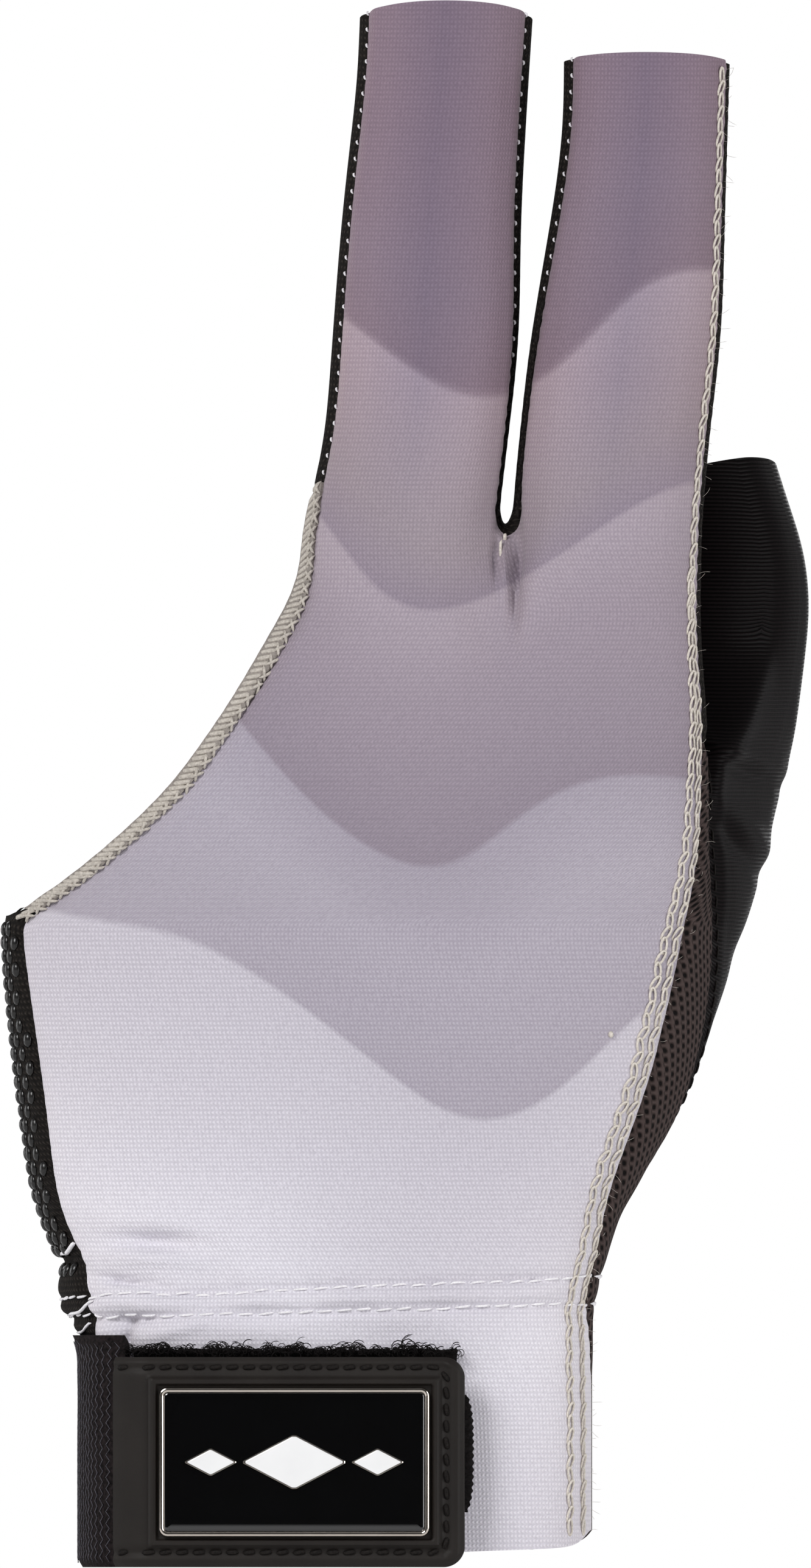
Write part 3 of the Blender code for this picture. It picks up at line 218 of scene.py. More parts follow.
# Shares of THUMB_LENGTH above the hole, PALM_WIDTH, THUMB_REACH, THUMB_WIDTH and THUMB_DEPTH
THUMB_ROWS = (
    (0.779, 0.526, 1.000, 0.527, 0.510),
    (0.831, 0.531, 1.030, 0.531, 0.505),
    (0.882, 0.527, 1.068, 0.518, 0.495),
    (0.939, 0.513, 1.117, 0.487, 0.490),
    (1.000, 0.498, 1.177, 0.473, 0.480),
)

OPENING_COLUMNS = ("rise", "reach", "palm_reach")

# Shares of the opening's height and of OPENING_REACH, for the back's edge and the palm's edge
OPENING_ROWS = (
    (0.000, 0.000, 0.000),
    (0.107, 0.210, 0.250),
    (0.217, 0.394, 0.440),
    (0.309, 0.525, 0.580),
    (0.438, 0.656, 0.720),
    (0.549, 0.761, 0.820),
    (0.696, 0.866, 0.910),
    (0.862, 0.958, 0.980),
    (1.000, 1.000, 1.000),
)

FOLD_COLUMNS = ("face", "across", "height", "length", "width", "slope", "rise")

# Folds in the cloth: middle as shares of PALM_WIDTH and PALM_LENGTH above the cuff's top,
# length and width as shares of PALM_WIDTH, slope in degrees, rise as a share of PALM_DEPTH
FOLD_ROWS = (
    ("back", -0.270, 0.035, 0.200, 0.032, -8.0, 0.030),
    ("back", -0.230, 0.095, 0.160, 0.034, -20.0, -0.022),
    ("back", -0.300, 0.120, 0.120, 0.030, 25.0, 0.020),
    ("back", 0.120, 0.030, 0.260, 0.034, 2.0, 0.014),
    ("back", 0.225, 0.900, 0.140, 0.036, 96.0, -0.034),
    ("back", 0.160, 0.930, 0.110, 0.030, 60.0, 0.016),
    ("back", 0.320, 0.920, 0.110, 0.030, 125.0, 0.016),
    ("palm", 0.000, 0.420, 0.420, 0.050, 35.0, -0.030),
    ("palm", 0.050, 0.700, 0.460, 0.050, 12.0, -0.030),
)

THUMB_FOLD_COLUMNS = ("turn", "height", "span", "width", "rise")

# Folds across the thumb: middle in degrees round it, height as a share of THUMB_LENGTH above the
# hole's bottom, span in degrees, width as a share of THUMB_LENGTH, rise as a share of THUMB_DEPTH
THUMB_FOLD_ROWS = (
    (70.0, 0.560, 45.0, 0.045, -0.045),
    (80.0, 0.640, 45.0, 0.045, 0.035),
    (200.0, 0.700, 80.0, 0.045, -0.040),
)


def as_table(columns, rows, sizes, base=0.0):
    """Turn rows of shares into rows of sizes, with the first column raised by a base."""
    table = []
    for row in rows:
        entry = {name: share * size for name, share, size in zip(columns, row, sizes)}
        entry[columns[0]] += base
        table.append(entry)
    return table


HAND = as_table(
    HAND_COLUMNS,
    CUFF_ROWS,
    (CUFF_LENGTH, CUFF_WIDTH, CUFF_WIDTH, CUFF_WIDTH, CUFF_WIDTH, CUFF_DEPTH, CUFF_DEPTH, 1.0),
) + as_table(
    HAND_COLUMNS,
    PALM_ROWS,
    (PALM_LENGTH, PALM_WIDTH, PALM_WIDTH, PALM_WIDTH, PALM_WIDTH, PALM_DEPTH, PALM_DEPTH, 1.0),
    CUFF_LENGTH,
)
SLOT_HEIGHT = CUFF_LENGTH + PALM_LENGTH
FINGERS = {
    "middle": as_table(
        FINGER_COLUMNS,
        MIDDLE_ROWS,
        (MIDDLE_LENGTH, MIDDLE_WIDTH, MIDDLE_WIDTH, FINGER_DEPTH, FINGER_DEPTH),
        SLOT_HEIGHT,
    ),
    "index": as_table(
        FINGER_COLUMNS,
        INDEX_ROWS,
        (INDEX_LENGTH, INDEX_WIDTH, INDEX_WIDTH, FINGER_DEPTH, FINGER_DEPTH),
        SLOT_HEIGHT,
    ),
}
THUMB = as_table(
    THUMB_COLUMNS,
    THUMB_ROWS,
    (THUMB_LENGTH, PALM_WIDTH, THUMB_REACH, THUMB_WIDTH, THUMB_DEPTH),
    THUMB_HOLE_BOTTOM,
)
OPENING = as_table(
    OPENING_COLUMNS,
    OPENING_ROWS,
    (OPENING_TOP - OPENING_BOTTOM, OPENING_REACH, OPENING_REACH),
    OPENING_BOTTOM,
)


def smooth_at(table, column, value):
    """Read a column at a value of the first one, along a smooth curve through the rows."""
    first = next(iter(table[0]))
    knots = [row[first] for row in table]
    heights = [row[column] for row in table]
    value = min(max(value, knots[0]), knots[-1])
    index = 0
    while index < len(knots) - 2 and knots[index + 1] <= value:
        index += 1

    def slope(place):
        low = max(place - 1, 0)
        high = min(place + 1, len(knots) - 1)
        return (heights[high] - heights[low]) / (knots[high] - knots[low])

    span = knots[index + 1] - knots[index]
    t = (value - knots[index]) / span
    start = heights[index]
    end = heights[index + 1]
    leave = slope(index) * span
    arrive = slope(index + 1) * span
    return (
        start
        + t * leave
        + t * t * (3 * (end - start) - 2 * leave - arrive)
        + t ** 3 * (2 * (start - end) + leave + arrive)
    )


def ease(value, low, high):
    """Rise smoothly from 0 at low to 1 at high."""
    t = min(max((value - low) / (high - low), 0.0), 1.0)
    return t * t * (3.0 - 2.0 * t)


def hand_section(height):
    """Section across the cuff or the palm: its four sides and how square its two halves are."""
    section = {side: smooth_at(HAND, side, height) for side in ("left", "right", "back", "palm")}
    section["square_back"] = smooth_at(HAND, "square", height)
    section["square_palm"] = PALM_SQUARENESS
    return section


def finger_section(name, height):
    """Section across a finger."""
    found = {column: smooth_at(FINGERS[name], column, height) for column in FINGER_COLUMNS[1:]}
    return {
        "left": SLOT_X + found["left"],
        "right": SLOT_X + found["right"],
        "back": found["lean"] - found["half_depth"],
        "palm": found["lean"] + found["half_depth"],
        "square_back": FINGER_SQUARENESS,
        "square_palm": FINGER_SQUARENESS,
    }


def lean_at(table, column, height):
    """How much a column of a table grows for each unit of height."""
    step = 0.0005
    high = min(height + step, table[-1]["height"])
    low = max(height - step, table[0]["height"])
    return (smooth_at(table, column, high) - smooth_at(table, column, low)) / (high - low)


def lean_row(name, height, section, row):
    """Set the height of the points of a row, so that the row lies square to the leaning finger."""
    lean = lean_at(FINGERS[name], "lean", height)
    middle_y = (section["back"] + section["palm"]) / 2
    for point in row:
        point.z = height - (point.y - middle_y) * lean


def section_point(section, angle):
    """Point of a section at an angle in degrees, from the middle of the back to the thumb side."""
    turn = math.radians(angle)
    across = math.sin(turn)
    towards_back = math.cos(turn)
    square = section["square_back"] if towards_back > 0 else section["square_palm"]
    half_width = (section["right"] - section["left"]) / 2
    half_depth = (section["palm"] - section["back"]) / 2
    x = math.copysign(abs(across) ** (2 / square), across)
    y = math.copysign(abs(towards_back) ** (2 / square), towards_back)
    return Vector((
        (section["right"] + section["left"]) / 2 + half_width * x,
        (section["palm"] + section["back"]) / 2 - half_depth * y,
        0.0,
    ))


def angle_at(section, x, palm_side=False):
    """Angle of the section's point at x, on its back half or its palm half."""
    half_width = (section["right"] - section["left"]) / 2
    share = (x - (section["right"] + section["left"]) / 2) / half_width
    share = min(max(share, -0.999), 0.999)
    square = section["square_palm"] if palm_side else section["square_back"]
    angle = math.degrees(math.asin(math.copysign(abs(share) ** (square / 2), share)))
    return 180.0 - angle if palm_side else angle


def reaches(line):
    """Distance along a line at each of its points."""
    found = [0.0]
    for before, after in zip(line, line[1:]):
        found.append(found[-1] + (after - before).length)
    return found


def resample(line, count):
    """Points at a count of equal steps along a line, both ends included."""
    reach = reaches(line)
    points = []
    place = 0
    for step in range(count + 1):
        target = reach[-1] * step / count
        while place < len(line) - 2 and reach[place + 1] < target:
            place += 1
        share = (target - reach[place]) / max(reach[place + 1] - reach[place], 1e-9)
        points.append(line[place].lerp(line[place + 1], share))
    return points


def spread(section, start, end, count):
    """Points at equal steps along a section between two angles, both ends included."""
    samples = 72
    angles = [start + (end - start) * i / samples for i in range(samples + 1)]
    return resample([section_point(section, angle) for angle in angles], count)


def steps(start, end, count):
    """Values at equal steps from start up to, and not including, end."""
    return [start + (end - start) * i / count for i in range(count)]


CORNER_ROW = OPENING_BOTTOM - 0.5 * HEM_WIDTH
HAND_LEVELS = (
    steps(0.0, CUFF_LENGTH, 4)
    + steps(CUFF_LENGTH, THUMB_HOLE_BOTTOM, 7)
    + steps(THUMB_HOLE_BOTTOM, CORNER_ROW, 6)
    + [CORNER_ROW]
    + steps(OPENING_BOTTOM, THUMB_HOLE_TOP, 4)
    + steps(THUMB_HOLE_TOP, SLOT_HEIGHT, 6)
    + [SLOT_HEIGHT]
)
FINGER_LEVELS = {
    name: steps(SLOT_HEIGHT, OPENING_TOP, 2)
    + steps(OPENING_TOP, SLOT_HEIGHT + length, cells)
    + [SLOT_HEIGHT + length]
    for name, length, cells in (("middle", MIDDLE_LENGTH, 8), ("index", INDEX_LENGTH, 7))
}
LEVELS = {"hand": HAND_LEVELS, **FINGER_LEVELS}

def opening_angles(section, height):
    """Angles of the opening's edge on the back, of the hem's inner edge and of the palm's edge."""
    edge_x = OPENING_CORNER_X + smooth_at(OPENING, "reach", height)
    palm_x = OPENING_CORNER_X + smooth_at(OPENING, "palm_reach", height)
    edge = angle_at(section, edge_x)
    hem = edge
    here = section_point(section, edge)
    while (section_point(section, hem) - here).length < HEM_WIDTH:
        hem += 0.5
    return edge, hem, angle_at(section, palm_x, True)


def tilt_at(height):
    """Slope of a row across the hand: the cuff's mouth is slightly lower at its left."""
    return MOUTH_SLOPE * (1.0 - ease(height, CUFF_LENGTH, THUMB_HOLE_BOTTOM + CUFF_LENGTH))


def fold_rise(face, x, height):
    """Outward shift of the cloth from the folds on one face."""
    rise = 0.0
    for row in FOLD_ROWS:
        fold = dict(zip(FOLD_COLUMNS, row))
        if fold["face"] != face:
            continue
        slope = math.radians(fold["slope"])
        along_x = x - fold["across"] * PALM_WIDTH
        along_z = height - CUFF_LENGTH - fold["height"] * PALM_LENGTH
        along = along_x * math.cos(slope) + along_z * math.sin(slope)
        aside = along_z * math.cos(slope) - along_x * math.sin(slope)
        reach = (2 * along / (fold["length"] * PALM_WIDTH)) ** 2
        spread_out = (aside / (fold["width"] * PALM_WIDTH)) ** 2
        rise += fold["rise"] * PALM_DEPTH * math.exp(-reach - spread_out)
    return rise


# Columns of the web between the fingers, and the columns round each finger
WEB = [f"web{i}" for i in range(1, WEB_CELLS)]
FINGER_ORDERS = {
    "middle": [*range(SLOT_COLUMN + 1), *WEB, *range(PALM_SLOT, RING_COLUMNS)],
    "index": [*range(SLOT_COLUMN, PALM_SLOT + 1), *WEB[::-1]],
}
FINGER_FRONTS = {"middle": range(SLOT_COLUMN), "index": range(SLOT_COLUMN, FRONT_CELLS)}


def hand_ring(height):
    """Points of one row round the hand, by column, with the opening's edge by name."""
    section = hand_section(height)
    left = angle_at(section, smooth_at(HAND, "seam_left", height))
    right = angle_at(section, smooth_at(HAND, "seam_right", height))
    palm_left = 180.0 - left
    points = {}
    if height >= OPENING_BOTTOM:
        edge, left, palm_left = opening_angles(section, height)
        points["edge"] = section_point(section, edge)
    ring = spread(section, left, right, FRONT_CELLS)
    if height > THUMB_HOLE_TOP:
        ring += spread(section, right, PALM_RIGHT_ANGLE, SIDE_CELLS)[1:]
    else:
        ring += spread(section, right, GUSSET_ANGLE, GUSSET_CELLS)[1:]
        ring += spread(section, GUSSET_ANGLE, PALM_RIGHT_ANGLE, SIDE_CELLS - GUSSET_CELLS)[1:]
    ring += spread(section, PALM_RIGHT_ANGLE, palm_left, FRONT_CELLS)[1:]
    ring += spread(section, palm_left, 360.0 + left, OUTER_CELLS)[1:-1]
    if height == OPENING_BOTTOM:
        ring[-OUTER_CELLS + 1:] = spread(section, palm_left, 360.0 + edge, OUTER_CELLS - 1)[1:]
    points.update(enumerate(ring))
    return points


def finger_ring(name, height):
    """Points of one row round a finger, by the hand's columns, with the web side by name."""
    section = finger_section(name, height)
    half = SLOT_COLUMN
    palm_end = 360.0 - FINGER_PALM_ANGLE
    points = {}
    wrapped = SLOT_WRAP * ease(height, SLOT_HEIGHT, SLOT_HEIGHT + 0.004)
    wrapped *= 1.0 - ease(height, SLOT_HEIGHT + 0.012, SLOT_HEIGHT + 0.045)
    inner_seam = FINGER_SEAM_INNER + wrapped
    if name == "middle":
        left = FINGER_SEAM_LEFT
        palm_left = palm_end
        if height <= OPENING_TOP:
            edge_angle, left, palm_left = opening_angles(section, height)
            points["edge"] = section_point(section, edge_angle)
        front = spread(section, left, inner_seam, half)
        inner = spread(section, inner_seam, FINGER_PALM_ANGLE, WEB_CELLS)
        palm = spread(section, FINGER_PALM_ANGLE, palm_left, half)
        outer = spread(section, palm_left, 360.0 + left, OUTER_CELLS)
        if height == OPENING_TOP:
            outer = spread(section, palm_left, 360.0 + edge_angle, OUTER_CELLS - 1) + outer[-1:]
        points.update(enumerate(front))
        points.update({f"web{i}": inner[i] for i in range(1, WEB_CELLS)})
        points.update({PALM_SLOT + i: point for i, point in enumerate(palm)})
        points.update({PALM_LEFT + i: outer[i] for i in range(1, OUTER_CELLS)})
    else:
        front = spread(section, FINGER_SEAM_LEFT - wrapped, FINGER_SEAM_RIGHT, half)
        side = spread(section, FINGER_SEAM_RIGHT, FINGER_PALM_ANGLE, SIDE_CELLS)
        palm = spread(section, FINGER_PALM_ANGLE, palm_end, half)
        inner = spread(section, palm_end, 360.0 + FINGER_SEAM_LEFT - wrapped, WEB_CELLS)
        points.update({SLOT_COLUMN + column: point for column, point in enumerate(front)})
        points.update({FRONT_CELLS + i: side[i] for i in range(1, SIDE_CELLS)})
        points.update({PALM_RIGHT + i: point for i, point in enumerate(palm)})
        points.update({f"web{WEB_CELLS - i}": inner[i] for i in range(1, WEB_CELLS)})
    lean_row(name, height, section, points.values())
    return points


def hand_points():
    """Every point of the hand's and the fingers' grid, by its place in the grid."""
    grid = {}
    middle = finger_ring("middle", SLOT_HEIGHT)
    knuckle = {**middle, **finger_ring("index", SLOT_HEIGHT)}
    for column in (SLOT_COLUMN, PALM_SLOT):
        knuckle[column] = Vector((SLOT_X, middle[column].y, SLOT_HEIGHT))
    for row, height in enumerate(HAND_LEVELS):
        share = ease(height, SLOT_HEIGHT - KNUCKLE_LENGTH, SLOT_HEIGHT) ** 2
        for column, point in hand_ring(height).items():
            if column in knuckle:
                aim = knuckle[column]
                point.x += share * (aim.x - point.x)
                point.y += share * (aim.y - point.y)
            face, outward = ("back", -1.0) if point.y < 0 else ("palm", 1.0)
            point.y += outward * fold_rise(face, point.x, height)
            point.z = height + tilt_at(height) * point.x
            if row == 0:
                past = (point.x - 0.5 * CUFF_WIDTH) / MOUTH_CORNER + MOUTH_CORNER_START
                bend = min(max(past, 0.0), 1.0)
                point.z += MOUTH_CORNER * (1 - math.sqrt(1 - bend ** 2))
            grid["hand", row, column] = point
    for name, levels in FINGER_LEVELS.items():
        for row, height in enumerate(levels[1:], 1):
            for column, point in finger_ring(name, height).items():
                grid[name, row, column] = point
    for i, column in enumerate(WEB, 1):
        share = i / WEB_CELLS
        point = knuckle[SLOT_COLUMN].lerp(knuckle[PALM_SLOT], share)
        point.z += WEB_RISE * math.sin(math.pi * share)
        grid["web", 0, column] = point
    return grid


def grid_key(name, row, column):
    """Place of a point in the grid: the hem ends on the side's rows, and a finger starts on the hand."""
    if column == "edge" and LEVELS[name][row] in (OPENING_BOTTOM, OPENING_TOP):
        column = RING_COLUMNS - 1
    if name == "hand" or row > 0:
        return name, row, column
    if column in WEB:
        return "web", 0, column
    return "hand", len(HAND_LEVELS) - 1, column


def cell_keys(name, row, before, after):
    """Corners of one cell, from its low corner on."""
    places = ((row, before), (row, after), (row + 1, after), (row + 1, before))
    return tuple(grid_key(name, *place) for place in places)


def hand_owner(cell, low, high):
    """Name of the panel that a cell of the hand's grid belongs to, or None where it is open."""
    middle = (low + high) / 2
    in_hole = THUMB_HOLE_BOTTOM < middle < THUMB_HOLE_TOP
    if cell < FRONT_CELLS:
        return "back_panel"
    if cell < PALM_RIGHT:
        if middle < THUMB_HOLE_BOTTOM:
            return "side_gusset"
        if in_hole and cell < FRONT_CELLS + GUSSET_CELLS:
            return "side_gusset"
        return None if in_hole else "palm_panel"
    if cell < PALM_RIGHT + THUMB_HOLE_CELLS:
        return None if in_hole else "palm_panel"
    if cell < PALM_LEFT:
        return "palm_panel"
    return None if middle > OPENING_BOTTOM else "palm_panel"


def hand_faces():
    """Cells of the hand and the fingers, by panel."""
    faces = {"back_panel": [], "palm_panel": [], "side_gusset": [], "opening_hem": []}
    for row, (low, high) in enumerate(zip(HAND_LEVELS, HAND_LEVELS[1:])):
        for cell in range(RING_COLUMNS):
            owner = hand_owner(cell, low, high)
            if owner:
                faces[owner].append(cell_keys("hand", row, cell, (cell + 1) % RING_COLUMNS))
        if low >= OPENING_BOTTOM:
            faces["opening_hem"].append(cell_keys("hand", row, "edge", 0))
    for name, columns in FINGER_ORDERS.items():
        for row, low in enumerate(FINGER_LEVELS[name][:-1]):
            below = low < OPENING_TOP - SEWING_GAP
            for before, after in zip(columns, columns[1:] + columns[:1]):
                if below and before not in WEB and before >= PALM_LEFT:
                    continue
                owner = "back_panel" if before in FINGER_FRONTS[name] else "palm_panel"
                faces[owner].append(cell_keys(name, row, before, after))
            if name == "middle" and below:
                faces["opening_hem"].append(cell_keys(name, row, "edge", 0))
    return faces


THUMB_LOFT_ROWS = 9
HOLE_ROUNDING = 2
THUMB_SWING = 32.0
THUMB_CROTCH_SWING = 40.0
THUMB_DRAW_IN = 0.30
CROTCH_HEIGHT = 0.5 * THUMB_WIDTH
CROTCH_SHORTENING = 0.3
# Turns round the thumb that the corners of its hole lead to, from its back towards the thumb side
HOLE_TOP_BACK = 35.0
HOLE_BOTTOM_BACK = 105.0
HOLE_BOTTOM_PALM = 180.0
HOLE_TOP_PALM = 295.0


def thumb_hole(grid):
    """Grid places round the thumb's hole, each with the turn round the thumb that it leads to."""
    top = HAND_LEVELS.index(THUMB_HOLE_TOP)
    bottom = HAND_LEVELS.index(THUMB_HOLE_BOTTOM)
    inner = FRONT_CELLS + GUSSET_CELLS
    far = PALM_RIGHT + THUMB_HOLE_CELLS
    back = [("hand", row, inner) for row in range(top, bottom - 1, -1)]
    low = [("hand", bottom, column) for column in range(inner, far + 1)]
    palm = [("hand", row, far) for row in range(bottom, top + 1)]
    high = [("hand", top, column) for column in range(far, inner - 1, -1)]
    sides = (
        (back, HOLE_TOP_BACK, HOLE_BOTTOM_BACK),
        (low, HOLE_BOTTOM_BACK, HOLE_BOTTOM_PALM),
        (palm, HOLE_BOTTOM_PALM, HOLE_TOP_PALM),
        (high, HOLE_TOP_PALM, 360.0 + HOLE_TOP_BACK),
    )
    loop = []
    for side, start, end in sides:
        reach = reaches([grid[key] for key in side])
        for key, way in zip(side[:-1], reach):
            loop.append((key, start + (end - start) * way / reach[-1]))
    return loop


def thumb_lean(height):
    """How far the thumb's middle moves across and back for each unit of height."""
    return lean_at(THUMB, "middle", height), lean_at(THUMB, "back_off", height)


def thumb_point(height, turn):
    """Point of the thumb's tube at a height and a turn round it."""
    found = {column: smooth_at(THUMB, column, height) for column in THUMB_COLUMNS[1:]}
    across = found["half_width"] * math.sin(math.radians(turn))
    back = -found["half_depth"] * math.cos(math.radians(turn))
    lean_x, lean_y = thumb_lean(height)
    drop = across * lean_x + back * lean_y
    return Vector((found["middle"] + across, found["back_off"] + back, height - drop))


def thumb_fold_rise(turn, height):
    """Outward shift of the thumb's cloth from its folds."""
    rise = 0.0
    for row in THUMB_FOLD_ROWS:
        fold = dict(zip(THUMB_FOLD_COLUMNS, row))
        aside = height - THUMB_HOLE_BOTTOM - fold["height"] * THUMB_LENGTH
        away = (turn - fold["turn"] + 180.0) % 360.0 - 180.0
        rise += fold["rise"] * THUMB_DEPTH * math.exp(
            -(aside / (fold["width"] * THUMB_LENGTH)) ** 2 - (away / fold["span"]) ** 2
        )
    return rise


def thumb_grid(grid):
    """Add the thumb's points to the grid and return its cells."""
    loop = thumb_hole(grid)
    keys = [key for key, turn in loop]
    for _ in range(HOLE_ROUNDING):
        ring = [grid[key].copy() for key in keys]
        for place, key in enumerate(keys):
            beside = ring[place - 1] + ring[(place + 1) % len(ring)]
            grid[key] = (2 * ring[place] + beside) / 4
    base = THUMB[0]["height"]
    rise = Vector((*thumb_lean(base), 1.0)).normalized()
    far = grid["hand", HAND_LEVELS.index(THUMB_HOLE_BOTTOM), PALM_RIGHT + THUMB_HOLE_CELLS]
    middle = sum((grid[key] for key in keys), Vector()) / len(keys)
    for place, (key, turn) in enumerate(loop):
        start = grid[key]
        end = thumb_point(base, turn)
        outward = Vector((max(start.x - far.x, 0.0), start.y, 0.0)).normalized()
        inward = Vector((middle.x - start.x, middle.y - start.y, 0.0)).normalized()
        crotch = ease(start.z, THUMB_HOLE_TOP - CROTCH_HEIGHT, THUMB_HOLE_TOP)
        swing = math.radians(THUMB_SWING + THUMB_CROTCH_SWING * crotch)
        reach = (end - start).length * (1.0 - CROTCH_SHORTENING * crotch)
        leave = outward * math.sin(swing) + inward * THUMB_DRAW_IN * (1.0 - crotch)
        leave += Vector((0.0, 0.0, math.cos(swing)))
        leave = leave.normalized() * reach
        arrive = rise * reach
        for row in range(1, THUMB_LOFT_ROWS + 1):
            t = row / THUMB_LOFT_ROWS
            point = (
                start * (2 * t ** 3 - 3 * t * t + 1)
                + leave * (t ** 3 - 2 * t * t + t)
                + end * (3 * t * t - 2 * t ** 3)
                + arrive * (t ** 3 - t * t)
            )
            shift = thumb_fold_rise(turn, point.z) * math.sin(math.pi * t)
            side = Vector((math.sin(math.radians(turn)), -math.cos(math.radians(turn)), 0.0))
            grid["thumb", row, place] = point + side * shift
    rows = [row["height"] for row in THUMB[1:]]
    for place, (key, turn) in enumerate(loop):
        for row, height in enumerate(rows):
            grid["thumb", THUMB_LOFT_ROWS + 1 + row, place] = thumb_point(height, turn)
    last = THUMB_LOFT_ROWS + len(rows)
    cells = []

    def at(row, place):
        place %= len(loop)
        return loop[place][0] if row == 0 else ("thumb", row, place)

    for row in range(last):
        for place in range(len(loop)):
            cells.append((at(row, place), at(row, place + 1), at(row + 1, place + 1), at(row + 1, place)))
    return cells


def face_at(section, angle):
    """Point of a section at an angle, and the direction out of it."""
    ahead = section_point(section, angle + 1.0) - section_point(section, angle - 1.0)
    return section_point(section, angle), Vector((ahead.y, -ahead.x, 0.0)).normalized()


def cuff_face(x, height=0.0):
    """Place of the cuff's outer face at x and a height, and the direction out of it."""
    section = hand_section(height)
    return face_at(section, angle_at(section, x))


TAB_LEFT = TAB_FROM_SIDE - CUFF_WIDTH / 2
TAB_RIGHT = TAB_LEFT + TAB_WIDTH
TAB_TOP = TAB_BOTTOM + TAB_HEIGHT
BADGE_RIGHT = TAB_RIGHT - BADGE_FROM_RIGHT
BADGE_LEFT = BADGE_RIGHT - BADGE_WIDTH
BADGE_TOP = TAB_TOP - BADGE_FROM_TOP
BADGE_BOTTOM = BADGE_TOP - BADGE_HEIGHT
LOOP_TO_STRAP = LAYER_GAP + LOOP_WALL + LAYER_GAP
STACK = LOOP_TO_STRAP + max(HOOK_WALL, ELASTIC_WALL) + LAYER_GAP


def tab_plane():
    """Flat seat of the tab behind the badge: a point and a slope across, just off the cuff."""
    left = BADGE_LEFT - FRAME_BAND
    right = BADGE_RIGHT + FRAME_BAND
    slope = (cuff_face(right)[0].y - cuff_face(left)[0].y) / (right - left)
    across = [left + (right - left) * i / 24 for i in range(25)]
    base = min(cuff_face(x)[0].y - slope * x for x in across)
    return base, slope


TAB_BASE, TAB_SLOPE = tab_plane()


def strap_face(x, off):
    """Point of the strap's layers at x, off the cuff by a distance: flat behind the badge."""
    flat = Vector((x, TAB_BASE + TAB_SLOPE * x, 0.0))
    flat_out = Vector((TAB_SLOPE, -1.0, 0.0)).normalized()
    round_point, round_out = cuff_face(x)
    bend = ease(BADGE_LEFT - FRAME_BAND - x, 0.0, TAB_BEND)
    point = flat.lerp(round_point, bend)
    out = flat_out.lerp(round_out, bend).normalized()
    return point + out * off


def finish_mesh(form, name, sharp):
    """New piece from a bmesh, smooth but for the edges over an angle in degrees."""
    mesh = bpy.data.meshes.new(name)
    form.to_mesh(mesh)
    form.free()
    if sharp:
        mesh.shade_smooth()
        mesh.set_sharp_from_angle(angle=math.radians(sharp))
    return link_piece(name, mesh)


def grid_plate(name, xs, zs, place, inner_off, outer_off):
    """Closed plate over a fine grid of places: place(i, j, off) gives its points."""
    columns, rows = len(xs), len(zs)
    shell = bmesh.new()
    outer = [[shell.verts.new(place(i, j, outer_off(i, j))) for j in range(rows)] for i in range(columns)]
    inner = [[shell.verts.new(place(i, j, inner_off)) for j in range(rows)] for i in range(columns)]
    for i in range(columns - 1):
        for j in range(rows - 1):
            shell.faces.new((outer[i][j], outer[i + 1][j], outer[i + 1][j + 1], outer[i][j + 1]))
            shell.faces.new((inner[i][j], inner[i][j + 1], inner[i + 1][j + 1], inner[i + 1][j]))
    border = [(i, 0) for i in range(columns)]
    border += [(columns - 1, j) for j in range(1, rows)]
    border += [(i, rows - 1) for i in range(columns - 2, -1, -1)]
    border += [(0, j) for j in range(rows - 2, 0, -1)]
    for (i, j), (k, m) in zip(border, border[1:] + border[:1]):
        shell.faces.new((outer[i][j], inner[i][j], inner[k][m], outer[k][m]))
    return finish_mesh(shell, name, 50)


# Cloth of the scene
PANELS = ("back_panel", "palm_panel", "side_gusset", "thumb_sleeve", "opening_hem")
SKIN_LEVELS = 3
SEAM_DIP = 0.00035
SEAM_WIDTH = 0.0008
SEAM_PITCH = 0.0022
SWELL_FROM_SEAM = 0.0022
SWELL_WIDTH = 0.0010
RIPPLE_RISE = 0.00008
RIPPLE_WIDTH = 0.0009
WRIST_DIP = 0.00045
WRIST_WIDTH = 0.0006
WRIST_PUFF = 0.00060

THUMB_GIRTH = 0.066

# Stitched rows across the wrist: height at the middle in metres, and slope across
WRIST_ROWS = ((0.03435, 0.040), (0.03130, 0.029))

CREASE_COLUMNS = ("panel", "x", "height", "length", "width", "slope", "rise")

